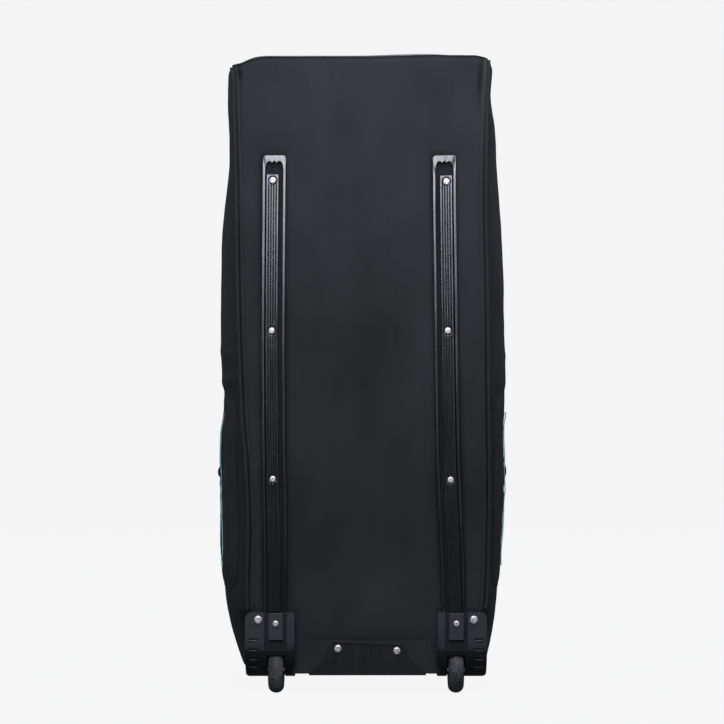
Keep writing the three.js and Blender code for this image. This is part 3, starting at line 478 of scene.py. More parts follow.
def node(tree, kind, **settings):
    """Adds a shader node. A setting named after an input sets or links it; any other is a property."""
    made = tree.nodes.new(kind)
    inputs = settings.pop("inputs", {})
    for key, value in settings.items():
        setattr(made, key, value)
    for key, value in inputs.items():
        if isinstance(value, bpy.types.NodeSocket):
            tree.links.new(value, made.inputs[key])
        else:
            made.inputs[key].default_value = value
    return made


def surface(name, **constants):
    """A new material with its constants set, its node tree and its shader."""
    material = bpy.data.materials.new(name)
    material.use_nodes = True
    shader = material.node_tree.nodes["Principled BSDF"]
    for key, value in constants.items():
        shader.inputs[key.replace("_", " ")].default_value = value
    return material, material.node_tree, shader


def join(tree, shader, **sockets):
    for key, socket in sockets.items():
        tree.links.new(socket, shader.inputs[key.replace("_", " ")])


def maths(tree, operation, *values):
    """A sum, product or other result of two or more values."""
    def pair(a, b):
        return node(tree, "ShaderNodeMath", operation=operation, inputs={0: a, 1: b}).outputs[0]

    return reduce(pair, values)


def noise_at(tree, scale, detail=4.0, stretch=None, roughness=0.55):
    place = node(tree, "ShaderNodeTexCoord").outputs["Object"]
    if stretch:
        place = node(tree, "ShaderNodeMapping", inputs={"Vector": place, "Scale": stretch}).outputs[0]
    inputs = {"Vector": place, "Scale": scale, "Detail": detail, "Roughness": roughness}
    return node(tree, "ShaderNodeTexNoise", inputs=inputs).outputs["Fac"]


def ranged(tree, value, low, high, to_low, to_high):
    inputs = {"Value": value, "From Min": low, "From Max": high, "To Min": to_low, "To Max": to_high}
    return node(tree, "ShaderNodeMapRange", inputs=inputs).outputs[0]


def blended(tree, factor, a, b):
    return node(tree, "ShaderNodeMix", data_type="RGBA", inputs={0: factor, 6: a, 7: b}).outputs[2]


def bumped(tree, shader, height, distance, strength, under=None):
    inputs = {"Height": height, "Distance": distance, "Strength": strength}
    if under is not None:
        inputs["Normal"] = under
    normal = node(tree, "ShaderNodeBump", inputs=inputs).outputs[0]
    join(tree, shader, Normal=normal)
    return normal


def threads(tree, axis, pitch):
    """Ridges at an even pitch across one of a cloth's own directions."""
    uv = node(tree, "ShaderNodeUVMap", uv_map="metres").outputs[0]
    run = node(tree, "ShaderNodeSeparateXYZ", inputs={0: uv}).outputs[axis]
    return maths(tree, "SINE", maths(tree, "MULTIPLY", run, 2 * math.pi / pitch), 0.0)


def cloth_material(name, dark, light, pitch=WEAVE_PITCH):
    """Over-and-under threads, lint and clouds of tone, between a dark and a light colour."""
    material, tree, shader = surface(name, Roughness=0.54, Sheen_Weight=0.01, Sheen_Roughness=0.5)
    weave = maths(tree, "MULTIPLY", threads(tree, 0, pitch), threads(tree, 1, pitch))
    clouds = noise_at(tree, 5.0, 3.0)
    fuzz = noise_at(tree, 900.0, 2.0)
    streaks = noise_at(tree, 1.0, 3.0, stretch=(240.0, 240.0, 3.0))
    tone = maths(
        tree, "ADD", maths(tree, "MULTIPLY", weave, 0.16), ranged(tree, clouds, 0.3, 0.7, 0.12, 0.7),
        ranged(tree, fuzz, 0.3, 0.7, -0.10, 0.10), ranged(tree, streaks, 0.3, 0.7, -0.07, 0.07),
    )
    lint = ranged(tree, noise_at(tree, 420.0, 1.0), 0.80, 0.83, 0.0, 0.35)
    colour = blended(tree, lint, blended(tree, tone, dark, light), (0.22, 0.225, 0.24, 1))
    # The per-point attribute paints shade into creases and round the hardware and highlights on seam ridges,
    # with some random tone; it scales both the colour and the specular level.
    worn = maths(tree, "ADD", node(tree, "ShaderNodeAttribute", attribute_name="wear").outputs["Fac"], 1.0)
    colour = node(tree, "ShaderNodeVectorMath", operation="SCALE", inputs={0: colour, 3: worn}).outputs[0]
    join(tree, shader, Base_Color=colour, Specular_IOR_Level=maths(tree, "MULTIPLY", worn, 0.36))
    soft = bumped(tree, shader, noise_at(tree, 55.0, 4.0), 0.5 * MM, 0.5)
    bumped(tree, shader, weave, 0.16 * MM, 0.7, under=soft)
    return material


def webbing_material():
    """Lengthwise ribs crossed by picks."""
    material, tree, shader = surface(
        "ribbed_webbing", Roughness=0.6, Specular_IOR_Level=0.3, Sheen_Weight=0.15, Sheen_Roughness=0.4,
    )
    picks = maths(tree, "MULTIPLY", threads(tree, 1, 1.5 * MM), 0.5)
    height = maths(tree, "ADD", threads(tree, 0, 2.4 * MM), picks)
    tone = ranged(tree, height, -1.5, 1.5, 0.0, 1.0)
    join(tree, shader, Base_Color=blended(tree, tone, (0.02, 0.02, 0.023, 1), (0.06, 0.061, 0.068, 1)))
    bumped(tree, shader, height, 0.25 * MM, 0.9)
    return material


def thread_material(name, colour):
    material, tree, shader = surface(name, Roughness=0.55, Specular_IOR_Level=0.35)
    tone = ranged(tree, noise_at(tree, 300.0, 2.0), 0.3, 0.7, 0.0, 1.0)
    darker = tuple(c * 0.6 for c in colour[:3]) + (1,)
    join(tree, shader, Base_Color=blended(tree, tone, darker, colour))
    bumped(tree, shader, noise_at(tree, 2500.0, 2.0), 0.1 * MM, 0.6)
    return material


def plastic_material(name, colour, rough, grain, scuff=0.0, shine=0.75):
    """Moulded black plastic. grain: depth of its fine texture. scuff: how much its wear shows."""
    material, tree, shader = surface(name, Specular_IOR_Level=shine)
    clouds = noise_at(tree, 14.0, 4.0)
    lines = noise_at(tree, 1.0, 3.0, stretch=(700.0, 700.0, 9.0))
    worn = ranged(tree, noise_at(tree, 38.0, 6.0, roughness=0.7), 0.56, 0.72, 0.0, scuff)
    light = tuple(c * 1.8 + 0.008 for c in colour[:3]) + (1,)
    tone = maths(tree, "ADD", ranged(tree, clouds, 0.3, 0.7, 0.0, 0.35), worn)
    gloss = maths(tree, "ADD", ranged(tree, lines, 0.3, 0.7, rough - 0.06, rough + 0.08), worn)
    join(tree, shader, Base_Color=blended(tree, tone, colour, light), Roughness=gloss)
    fine = bumped(tree, shader, lines, 0.05 * MM, 0.5)
    bumped(tree, shader, noise_at(tree, 1300.0, 2.0), grain, 0.6, under=fine)
    return material


def rubber_material():
    material, tree, shader = surface("wheel_rubber", Specular_IOR_Level=0.35)
    speckle = noise_at(tree, 260.0, 5.0, roughness=0.75)
    dust = noise_at(tree, 45.0, 4.0)
    worn = ranged(tree, speckle, 0.36, 0.66, 0.0, 0.8)
    tone = maths(tree, "ADD", worn, ranged(tree, dust, 0.4, 0.7, -0.2, 0.3))
    colour = blended(tree, tone, (0.03, 0.03, 0.034, 1), (0.15, 0.152, 0.165, 1))
    join(tree, shader, Base_Color=colour, Roughness=ranged(tree, dust, 0.3, 0.7, 0.5, 0.8))
    bumped(tree, shader, speckle, 0.35 * MM, 0.8)
    return material


def steel_material():
    material, tree, shader = surface("plated_steel", Metallic=1.0)
    smudge = noise_at(tree, 190.0, 3.0)
    tone = ranged(tree, smudge, 0.35, 0.65, 0.0, 1.0)
    colour = blended(tree, tone, (0.68, 0.68, 0.69, 1), (0.92, 0.92, 0.93, 1))
    join(tree, shader, Base_Color=colour, Roughness=ranged(tree, smudge, 0.3, 0.7, 0.40, 0.56))
    bumped(tree, shader, noise_at(tree, 900.0, 3.0), 0.08 * MM, 0.5)
    return material


CLOTH = cloth_material("black_polyester", (0.0106, 0.0108, 0.0118, 1), (0.0238, 0.0243, 0.0266, 1))
BASE_CLOTH = cloth_material(
    "coated_base_cloth", (0.016, 0.0162, 0.0175, 1), (0.033, 0.0335, 0.036, 1), 1.4 * MM,
)
PIPING = cloth_material("piping_cloth", (0.011, 0.0112, 0.0122, 1), (0.026, 0.0265, 0.0288, 1), 0.7 * MM)
# Near-black cloth for the cord along the rear top seam: painted seam shadow.
PAINTED_SEAM_SHADOW = cloth_material("painted_seam_shadow", (0.004, 0.0042, 0.005, 1), (0.011, 0.0113, 0.0135, 1), 0.7 * MM)
TEAL = cloth_material("teal_tape", (0.24, 0.52, 0.54, 1), (0.48, 0.80, 0.82, 1), 0.9 * MM)
WEBBING = webbing_material()
THREAD = thread_material("black_thread", (0.045, 0.046, 0.053, 1))
ZIP = plastic_material("zip_coil", (0.005, 0.0051, 0.0055, 1), 0.5, 0.02 * MM, shine=0.25)
RAIL = plastic_material("rail_plastic", (0.0065, 0.0066, 0.0072, 1), 0.21, 0.03 * MM, 0.08, 1.0)
RAIL_BED = plastic_material("rail_bed_plastic", (0.006, 0.0061, 0.0066, 1), 0.6, 0.2 * MM, shine=0.2)
# A darker housing plastic for recessed faces: painted shade.
HOUSING_PAINTED_SHADE = plastic_material(
    "housing_recess_painted_shade", (0.0105, 0.0108, 0.0125, 1), 0.55, 0.09 * MM, shine=0.3,
)
GUARD = plastic_material("guard_plastic", (0.0075, 0.0077, 0.0085, 1), 0.34, 0.05 * MM, 0.06, 0.55)
HOUSING = plastic_material("housing_plastic", (0.017, 0.0174, 0.0205, 1), 0.45, 0.09 * MM, 0.10)
RUBBER = rubber_material()
STEEL = steel_material()


# Cloth skins over the body

DEPTH_SHARES = crowded(DEEP)
HEIGHT_SHARES = crowded(ROWS)
WIDTH_SHARES = crowded(WIDE)
SEAM_Y = mix(BACK_Y, FRONT_Y, DEPTH_SHARES)


def side_base(side):
    """The side panel's surface before its wrinkles, read off its solid."""
    sign = SIDES[side]
    tree = rays(f"side_panel_{side}")
    ray_y = np.clip(SEAM_Y, BACK_Y + 3.8 * MM, FRONT_Y - 2.8 * MM)
    tops = []
    for y in ray_y:
        low, high = 0.900, 0.960
        while high - low > 0.1 * MM:
            middle = (low + high) / 2
            if hit(tree, (sign, y, middle), (-sign, 0, 0)):
                low = middle
            else:
                high = middle
        tops.append(low)
    tops = np.array(tops)
    x = np.zeros((ROWS + 1, DEEP + 1))
    z = BASE_Z + HEIGHT_SHARES[:, None] * (tops + 2.5 * MM - BASE_Z)[None, :]
    for j in range(DEEP, -1, -1):
        for i in range(ROWS + 1):
            height = min(max(z[i, j], BASE_Z + 0.5 * MM), tops[j] - 0.5 * MM)
            found = hit(tree, (sign, ray_y[j], height), (-sign, 0, 0))
            x[i, j] = found.x if found else x[i, min(j + 1, DEEP)]
    cell_up = (z[-1, 0] - BASE_Z) / ROWS
    cell_deep = (FRONT_Y - BACK_Y) / DEEP
    smooth = blur(x, FACET_BLUR / cell_up, FACET_BLUR * 0.6 / cell_deep)
    y = np.tile(SEAM_Y, (ROWS + 1, 1))
    held = fade(y - HOUSING_FRONT, 8 * MM) * fade(z - HOUSING_TOP, 10 * MM)
    x = mix(smooth, x, held)
    seam = by_height(SEAM_PULL[side], z) * fade(y - BACK_Y, 13 * MM)
    edge = nearest(y - BACK_Y, FRONT_Y - y, z[-1:] - z, z - BASE_Z)
    sink = by_height(SIDE_SINK[side], z) * (1 - fade(edge, 22 * MM))
    x += sign * (seam - sink * (1 - held))
    return np.stack([x, y, z], axis=2)


def by_height(table, z):
    """A smooth run of values given at some heights, all in millimetres."""
    table = np.array(table) * MM
    heights = np.linspace(0, 1, 401)
    return np.interp(z, heights, smooth_line(np.interp(heights, *table.T), 2.0))


def side_wrinkles(side, points):
    """How far a side panel's cloth stands off its plain surface."""
    y, z = points[..., 1], points[..., 2]
    back = y - BACK_Y
    front = FRONT_Y - y
    low = z - BASE_Z
    top = z[-1:, :] - z
    seed = 3 + SIDES[side]
    edge = nearest(back, front, top, low)
    puff = SEAM_PUFF["height"] * (1 - fade(edge, SEAM_PUFF["reach"]))
    waves = 1.7 * MM * ripple(points, (3, 7, 4), seed)
    hang = 2.6 * MM * crease(points, (2, 13, 2.2), seed + 1) * (fade(top, 0.16) + 0.55 * fade(low, 0.12))
    sag = 1.9 * MM * crease(points, (2, 4.5, 15), seed + 2) * dip(z - 0.42, 0.11)
    gathers = 1.1 * MM * ripple(points, (5, 9, 75), seed + 3) * (fade(back, 14 * MM) + fade(front, 16 * MM))
    gathers += 1.1 * MM * ripple(points, (40, 75, 9), seed + 4) * (fade(top, 18 * MM) + fade(low, 14 * MM))
    fine = 0.35 * MM * ripple(points, (30, 55, 40), seed + 5)
    welt = 1.8 * MM * dip(back - 8 * MM, 2.6 * MM) - 1.2 * MM * dip(back - 3.2 * MM, 1.6 * MM)
    welt -= 0.9 * MM * dip(back - SIDE_STITCH_INSET, 1.3 * MM)
    held = fade(y - HOUSING_FRONT, 12 * MM) * fade(z - HOUSING_TOP, 12 * MM)
    return puff + welt + (waves + hang + sag + gathers + fine) * (1 - fade(edge, 6 * MM)) * (1 - held)


def drape(points):
    """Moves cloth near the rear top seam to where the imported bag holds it."""
    x, y, z = points[..., 0], points[..., 1], points[..., 2]
    back = y - BACK_Y
    left = x - TOP_ENDS[0]
    low = np.maximum(TOP_LEVEL - z, 0)
    rise = np.interp(left / (TOP_ENDS[1] - TOP_ENDS[0]), *np.array(TOP_RISE).T) * MM
    moved = points.copy()
    moved[..., 2] += rise * np.exp(-(back / SEAM_HOLD["deep"]) ** 2 - (low / SEAM_HOLD["down"]) ** 2)
    spread = (left / CORNER_HOLD["across"]) ** 2 + (back / CORNER_HOLD["deep"]) ** 2
    moved[..., 0] -= CORNER_PULL * np.exp(-spread - (low / CORNER_HOLD["down"]) ** 2)
    return moved


side_plain = {side: side_base(side) for side in SIDES}
TOP_ENDS = [side_plain[side][-1, 0, 0] for side in SIDES]
TOP_LEVEL = max(side_plain[side][-1, 0, 2] for side in SIDES)
SIDE_TOP = {side: side_plain[side][-1] for side in SIDES}


def rail_line(side):
    """The middle of a rail at its foot and at its head, in x and z."""
    corners = corners_of(f"rail_channel_{side}")
    low = corners[corners[:, 2] < corners[:, 2].min() + 5 * MM]
    high = corners[corners[:, 2] > corners[:, 2].max() - 20 * MM]
    return low[:, [0, 2]].mean(0), high[:, [0, 2]].mean(0), corners[:, 2].max()


def held_distance(x, z, plate=True):
    """How far a spot on the back lies from the hardware that is screwed to it."""
    nearest = np.full(x.shape, 1.0)
    for side in SIDES:
        foot, head, top = rail_line(side)
        middle = mix(foot[0], head[0], (z - foot[1]) / (head[1] - foot[1]))
        across = np.maximum(np.abs(x - middle) - RAIL_HALF, 0)
        above = np.maximum(z - top, 0)
        nearest = np.minimum(nearest, np.hypot(across, above))
    boxes = [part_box(f"wheel_housing_{side}") for side in SIDES]
    if plate:
        boxes.append(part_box("guard_plate"))
    for low, high in boxes:
        across = np.maximum(np.maximum(low.x - x, x - high.x), 0)
        above = np.maximum(z - high.z, 0)
        nearest = np.minimum(nearest, np.hypot(across, above))
    return nearest


def back_skin():
    """The back's cloth: flat under the hardware, slightly puffed between it, stitched along its edges."""
    left, right = side_plain["left"][:, 0], side_plain["right"][:, 0]
    top_tree = rays("top_panel")
    x_top = mix(left[-1, 0], right[-1, 0], WIDTH_SHARES)
    ray_x = np.clip(x_top, x_top[0] + 12 * MM, x_top[-1] - 6 * MM)
    tops = np.array([top_height(top_tree, x, BACK_Y + 4.5 * MM) for x in ray_x])
    tops[0], tops[-1] = left[-1, 2], right[-1, 2]
    tops = smooth_line(tops, 1.5)
    x = mix(left[:, :1], right[:, :1], WIDTH_SHARES[None, :])
    z = BASE_Z + HEIGHT_SHARES[:, None] * (tops - BASE_Z)[None, :]
    points = np.stack([x, np.full(x.shape, BACK_Y), z], axis=2)
    seam_left = x - left[:, :1]
    seam_right = right[:, :1] - x
    seam = np.minimum(seam_left, seam_right)
    top = tops[None, :] - z
    edge = np.minimum(seam, top)
    held = held_distance(x, z)
    puff = PANEL_PUFF["height"] * (1 - fade(held, PANEL_PUFF["reach"])) * (1 - fade(edge, 6 * MM))
    puff += SEAM_PUFF["height"] * 0.7 * (1 - fade(edge, SEAM_PUFF["reach"] * 0.6)) * (1 - fade(held, 5 * MM))
    waves = 1.5 * MM * ripple(points, (5, 1, 3.5), 11) + 0.8 * MM * ripple(points, (16, 1, 5), 12)
    tension = 2.4 * MM * crease(points, (13, 1, 5), 13) * fade(top, 0.06)
    gathers = 0.5 * MM * ripple(points, (60, 1, 8), 14) * fade(top, 14 * MM)
    gathers += 0.45 * MM * ripple(points, (8, 1, 60), 15) * fade(seam, 14 * MM)
    free = (1 - fade(edge, 5 * MM)) * (1 - fade(held, 9 * MM))
    stitch = dip(seam - PIPING_STITCH_INSET, 1.2 * MM) * 0.8 * MM
    stitch += dip(top - TOP_STITCH_DROP, 1.2 * MM) * 0.7 * MM * (seam > PIPING_STITCH_INSET)
    points = drape(points)
    corner_left = 3.0 * MM * dip(seam_left - 5 * MM, 2.6 * MM) * fade(top, 16 * MM)
    corner_right = 2.6 * MM * dip(seam_right - 11 * MM, 2.0 * MM) * dip(top - 34 * MM, 22 * MM)
    offset = puff - stitch * (1 - fade(held, 3 * MM)) + (waves + tension + gathers) * free
    offset -= (corner_left + corner_right) * (1 - fade(edge, 2 * MM))
    points[..., 1] -= offset
    return points


def top_height(tree, x, y):
    found = hit(tree, (x, y, 2.0), (0, 0, -1))
    return found.z if found else np.nan


def top_skin(back):
    """The top's cloth, from the back's upper edge to the front's."""
    tree = rays("top_panel")
    left, right = SIDE_TOP["left"], SIDE_TOP["right"]
    x = mix(left[:, :1], right[:, :1], WIDTH_SHARES[None, :])
    y = np.tile(SEAM_Y[:, None], (1, WIDE + 1))
    z = np.zeros(x.shape)
    for i in range(DEEP + 1):
        ray_y = min(max(SEAM_Y[i], BACK_Y + 4.5 * MM), FRONT_Y - 3.5 * MM)
        for j in range(WIDE + 1):
            ray_x = min(max(x[i, j], left[i, 0] + 12 * MM), right[i, 0] - 6 * MM)
            z[i, j] = top_height(tree, ray_x, ray_y)
    for i, j in zip(*np.where(np.isnan(z))):
        z[i, j] = np.nanmean(z[max(0, i - 2):i + 3, max(0, j - 2):j + 3])
    z[:, 0], z[:, -1] = left[:, 2], right[:, 2]
    z = blur(z, 4.0, 4.0)
    z[:, 0], z[:, -1] = left[:, 2], right[:, 2]
    points = drape(np.stack([x, y, z], axis=2))
    points[0] = back[-1]
    beside = nearest(x - left[:, :1], right[:, :1] - x)
    behind = nearest(y - BACK_Y, FRONT_Y - y)
    edge = nearest(beside, behind)
    puff = 0.6 * MM * (1 - fade(edge, 12 * MM))
    waves = 1.8 * MM * ripple(points, (6, 8, 3), 21) + 1.6 * MM * crease(points, (5, 10, 3), 22)
    gathers = 1.3 * MM * ripple(points, (55, 12, 6), 23) * fade(behind, 22 * MM)
    gathers += 1.3 * MM * ripple(points, (12, 55, 6), 24) * fade(beside, 22 * MM)
    rear = 1 - fade(y - BACK_Y, 60 * MM)
    points[..., 2] += puff + (waves + gathers) * (1 - fade(edge, 7 * MM)) * rear
    return points


def front_skin(top):
    """The front's cloth: border and lid in one, sunk along the zip's line."""
    tree = rays("front_border", "lid_panel", "main_zip")
    left, right = side_plain["left"][:, -1], side_plain["right"][:, -1]
    tops = top[-1, :, 2]
    x = mix(left[:, :1], right[:, :1], WIDTH_SHARES[None, :])
    z = BASE_Z + HEIGHT_SHARES[:, None] * (tops - BASE_Z)[None, :]
    y = np.zeros(x.shape)
    for i in range(ROWS + 1):
        for j in range(WIDE + 1):
            ray_x = min(max(x[i, j], left[i, 0] + 2 * MM), right[i, 0] - 2 * MM)
            ray_z = min(max(z[i, j], BASE_Z + 1 * MM), tops[j] - 5 * MM)
            found = hit(tree, (ray_x, 1.0, ray_z), (0, -1, 0))
            y[i, j] = found.y if found else FRONT_Y
    y[:, 0] = y[:, -1] = y[0] = y[-1] = FRONT_Y
    smooth = blur(y, 6.0, 5.0)
    smooth[:, 0] = smooth[:, -1] = smooth[0] = smooth[-1] = FRONT_Y
    points = np.stack([x, smooth, z], axis=2)
    edge = nearest(x - left[:, :1], right[:, :1] - x, z - BASE_Z, tops[None, :] - z)
    zip_gap = np.abs(lid_distance(x, z))
    puff = 1.8 * MM * (1 - fade(edge, 8 * MM)) * (1 - fade(zip_gap, 9 * MM))
    waves = 1.5 * MM * ripple(points, (6, 3, 4), 31) + 1.4 * MM * crease(points, (7, 2, 3), 32)
    waves += 0.8 * MM * ripple(points, (45, 3, 12), 33) * fade(edge, 25 * MM)
    points[..., 1] += puff + waves * (1 - fade(edge, 7 * MM)) * (1 - fade(zip_gap, 14 * MM))
    return points


def lid_frame():
    """The middle and half width of the zipped lid at its sill, and its height."""
    low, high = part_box("main_zip")
    lean = abs(LID["lean"]) * (high.z - low.z)
    half = (high.x - low.x - lean) / 2 - 3.5 * MM
    return (low.x + high.x) / 2 + lean / 2, half, low.z, high.z - 3.5 * MM


def lid_distance(x, z):
    """Distance from the zip's line, negative inside the lid."""
    middle, half, low, high = lid_frame()
    across = np.abs(x - middle - LID["lean"] * (z - low)) - half
    above = z - high
    corner = LID["corner"]
    qx, qz = across + corner, above + corner
    rounded = np.hypot(np.maximum(qx, 0), np.maximum(qz, 0)) + np.minimum(np.maximum(qx, qz), 0) - corner
    return np.where(z > low - 2 * MM, rounded, low - z)


def base_skin():
    left, right = side_plain["left"][0], side_plain["right"][0]
    shares = np.linspace(0, 1, 61)
    x = mix(left[:, :1], right[:, :1], shares[None, :])
    y = np.tile(SEAM_Y[:, None], (1, 61))
    points = np.stack([x, y, np.full(x.shape, BASE_Z)], axis=2)
    points[..., 2] += 0.4 * MM * ripple(points, (12, 12, 1), 41)
    return points


def outside_housings(points):
    """Cells of a grid that lie clear of the two wheel housings' corners."""
    middle = (points[:-1, :-1] + points[1:, 1:]) / 2
    x, y, z = middle[..., 0], middle[..., 1], middle[..., 2]
    beside = (x < INNER_X["left"] - 2.5 * MM) | (x > INNER_X["right"] + 2.5 * MM)
    return ~(beside & (y < HOUSING_FRONT - 2.5 * MM) & (z < SHOULDER_Z - 1.5 * MM))


class Skin:
    """A finished cloth grid that other pieces can be laid on."""

    def __init__(self, name, points, toward, uv_axes, material, replaces, wear=None):
        self.points = points
        self.normals = grid_normals(points, toward)
        rows, columns = points.shape[:2]
        turn = np.cross(points[0, 1] - points[0, 0], points[1, 0] - points[0, 0]) @ np.array(toward)
        order = FORTH if turn >= 0 else FORTH[::-1]
        faces = grid_faces(rows, columns, outside_housings(points), order)
        uv = points[..., list(uv_axes)].reshape(-1, 2)
        piece(name, points.reshape(-1, 3), faces, material, uv=uv, replaces=replaces, wear=wear)

    def crossed(self, axis, values, columns=False):
        """Where a coordinate has a value, in each row or each column: points and normals."""
        turn = (1, 0, 2) if columns else (0, 1, 2)
        spots, ups = [], []
        for line, up, value in zip(self.points.transpose(turn), self.normals.transpose(turn), values):
            coordinate = line[:, axis]
            order = np.argsort(coordinate)
            at = np.interp(value, coordinate[order], order.astype(float))
            k = min(int(at), len(line) - 2)
            spots.append(mix(line[k], line[k + 1], at - k))
            ups.append(mix(up[k], up[k + 1], at - k))
        return np.array(spots), unit(np.array(ups))

    def at(self, first, second, axes):
        """The point and normal at two coordinates, such as y and z on a side panel."""
        rows, columns = self.points.shape[:2]
        column = np.interp(first, self.points[rows // 2, :, axes[0]], np.arange(columns))
        j = min(int(column), columns - 2)
        line = mix(self.points[:, j], self.points[:, j + 1], column - j)
        ups = mix(self.normals[:, j], self.normals[:, j + 1], column - j)
        row = np.interp(second, line[:, axes[1]], np.arange(rows))
        i = min(int(row), rows - 2)
        return mix(line[i], line[i + 1], row - i), mix(ups[i], ups[i + 1], row - i)


def lay_on(skin, outline, axes, lift=0.0):
    """Points of a flat outline laid on a skin, with normals."""
    found = [skin.at(a, b, axes) for a, b in outline]
    spots = np.array([p for p, _ in found])
    ups = unit(np.array([n for _, n in found]))
    return spots + ups * lift, ups


def rounded_outline(low, high, corner, step=4 * MM):
    """A rounded rectangle's points at an even pitch."""
    (x0, y0), (x1, y1) = low, high
    turns = (
        ((x1 - corner, y0 + corner), -90), ((x1 - corner, y1 - corner), 0),
        ((x0 + corner, y1 - corner), 90), ((x0 + corner, y0 + corner), 180),
    )
    points = np.vstack([arc(centre, corner, start, start + 90, 13) for centre, start in turns])
    points = np.vstack([points, points[:1]])
    run = run_along(points)
    return read_at(points, run, np.linspace(0, run[-1], int(run[-1] / step), endpoint=False))


def back_painted_light_and_tone(points):
    """Painted shade in the creases beside the piping, below the top seam and round the rails and housings,
    painted highlights on the ridges beside the side seams, slightly darker cloth round mid height, and random
    tone.
    """
    x, z = points[..., 0], points[..., 2]
    seam_left = x - x[:, :1]
    seam_right = x[:, -1:] - x
    top = z[-1:] - z
    held = held_distance(x, z, plate=False)
    wear = -0.72 * dip(seam_left - 3.3 * MM, 0.95 * MM) * (1 - 0.5 * dip(top, 50 * MM))
    wear -= 0.68 * dip(seam_right - 3.1 * MM, 0.95 * MM) * (1 - dip(top, 60 * MM))
    wear += 0.22 * dip(seam_left - 6.5 * MM, 1.8 * MM) * fade(top, 0.07)
    wear -= 0.4 * dip(seam_left - 10.5 * MM, 1.2 * MM) * fade(top, 0.07)
    wear += 0.55 * dip(seam_right - 4.4 * MM, 1.7 * MM) * fade(top, 0.07)
    wear -= 0.45 * dip(seam_right - 10 * MM - top * 0.03, 2.2 * MM) * dip(top - 32 * MM, 24 * MM)
    wear -= 0.5 * dip(seam_left - 9 * MM, 3.5 * MM) * dip(top - 13 * MM, 7 * MM)
    wear -= 0.3 * dip(top - 1.4 * MM, 0.8 * MM)
    # Painted shade round the rails and housings, where they meet the cloth.
    wear -= 0.35 * fade(held, 2.2 * MM)
    wear -= 0.08 * dip(z - 0.48, 0.17)
    wear += 0.16 * ripple(points, (9, 1, 5), 16) + 0.12 * ripple(points, (26, 1, 14), 17)
    return wear


def side_painted_light_and_tone(points):
    """Painted highlight on the welt beside the back seam, painted shade on the flank behind it, painted light
    towards the front, and random tone.
    """
    back = points[..., 1] - BACK_Y
    wear = 0.3 * fade(back, 9 * MM) + 0.5 - 0.84 * fade(back, 0.12)
    wear += 0.08 * ripple(points, (5, 12, 8), 18)
    return wear


back_points = back_skin()
back = Skin("back_cloth", back_points, (0, -1, 0), (0, 2), CLOTH, ["back_panel"], back_painted_light_and_tone(back_points))
top_points = top_skin(back_points)
top = Skin("top_cloth", top_points, (0, 0, 1), (0, 1), CLOTH, ["top_panel"])
front = Skin("front_cloth", front_skin(top_points), (0, 1, 0), (0, 2), CLOTH, ["front_border", "lid_panel"])
Skin("base_cloth", base_skin(), (0, 0, -1), (0, 1), BASE_CLOTH, ["base_panel"])
sides = {}
for side, sign in SIDES.items():
    plain = side_plain[side]
    offset = side_wrinkles(side, plain)[..., None] * grid_normals(plain, (sign, 0, 0))
    plain = drape(plain)
    side_plain[side] = plain
    offset[0] = offset[-1] = 0
    offset[:, 0] = offset[:, -1] = 0
    sides[side] = Skin(
        f"side_cloth_{side}", plain + offset, (sign, 0, 0), (1, 2), CLOTH, [f"side_panel_{side}"],
        side_painted_light_and_tone(plain),
    )


# Seams, piping and stitching

def seam_pieces():
    """The cords sewn into the seams, of which the dark one along the rear top seam is painted seam shadow,
    and the stitching beside them.
    """
    top_line = back_points[-1]
    # A dark cord along the rear top seam: painted shadow in the seam.
    cord = top_line[1:-1] + np.array([0, 0.4 * MM, 0.5 * MM])
    band("top_seam_shadow_cord", cord, (0, 0, 1), round_profile(TOP_SHADOW_CORD_RADIUS), PAINTED_SEAM_SHADOW)
    for side, sign in SIDES.items():
        seam = side_plain[side][:, 0]
        path = seam[seam[:, 2] > HOUSING_TOP + 0.5 * MM] + np.array([sign * 0.4 * MM, 0.3 * MM, 0])
        around = round_profile(PIPING_RADIUS, 14)
        out = (sign * 0.5, -1, 0)
        band(f"piping_cord_{side}", path, out, around, PIPING, replaces=[f"piping_{side}"])
        spots, ups = back.crossed(0, seam[:, 0] - sign * PIPING_STITCH_INSET)
        clear = (spots[:, 2] > HOUSING_TOP + 3 * MM) & (spots[:, 2] < spots[-1, 2] - 8 * MM)
        stitches(f"back_seam_stitches_{side}", spots[clear], ups[clear])
        spots, ups = sides[side].crossed(1, np.full(ROWS + 1, BACK_Y + SIDE_STITCH_INSET))
        clear = spots[:, 2] > HOUSING_TOP + 3 * MM
        stitches(f"side_seam_stitches_{side}", spots[clear], ups[clear])
        edge = side_plain[side][:, -1]
        band(f"front_piping_{side}", edge, (sign, 1, 0), round_profile(PIPING_RADIUS * 0.9), PIPING)
        spots, ups = front.crossed(0, edge[:, 0] - sign * PIPING_STITCH_INSET)
        stitches(f"front_seam_stitches_{side}", spots[4:-4], ups[4:-4])
        spots, ups = sides[side].crossed(2, side_plain[side][-1, :, 2] - TOP_STITCH_DROP, columns=True)
        stitches(f"side_top_stitches_{side}", spots[3:-3], ups[3:-3])
    spots, ups = back.crossed(2, top_line[:, 2] - TOP_STITCH_DROP, columns=True)
    stitches("back_top_stitches", spots[6:-6], ups[6:-6])
    for name, place in (("rear", BACK_Y + 7 * MM), ("front", FRONT_Y - 7 * MM)):
        spots, ups = top.crossed(1, np.full(WIDE + 1, place), columns=True)
        stitches(f"top_{name}_stitches", spots[4:-4], ups[4:-4])


# Side pockets and their zips

def pocket_rise(side, spots, inner):
    """How far a pocket's cloth stands off the side, by its distance from the pocket's edge."""
    rise = 0.4 * MM + 1.6 * MM * (1 - fade(inner, 2.5 * MM)) + POCKET["puff"] * (1 - fade(inner, 22 * MM))
    wave = 1.3 * MM * crease(spots, (3, 16, 9), 51 + SIDES[side]) + 0.7 * MM * ripple(spots, (4, 30, 22), 53)
    return rise + wave * (1 - fade(inner, 9 * MM))


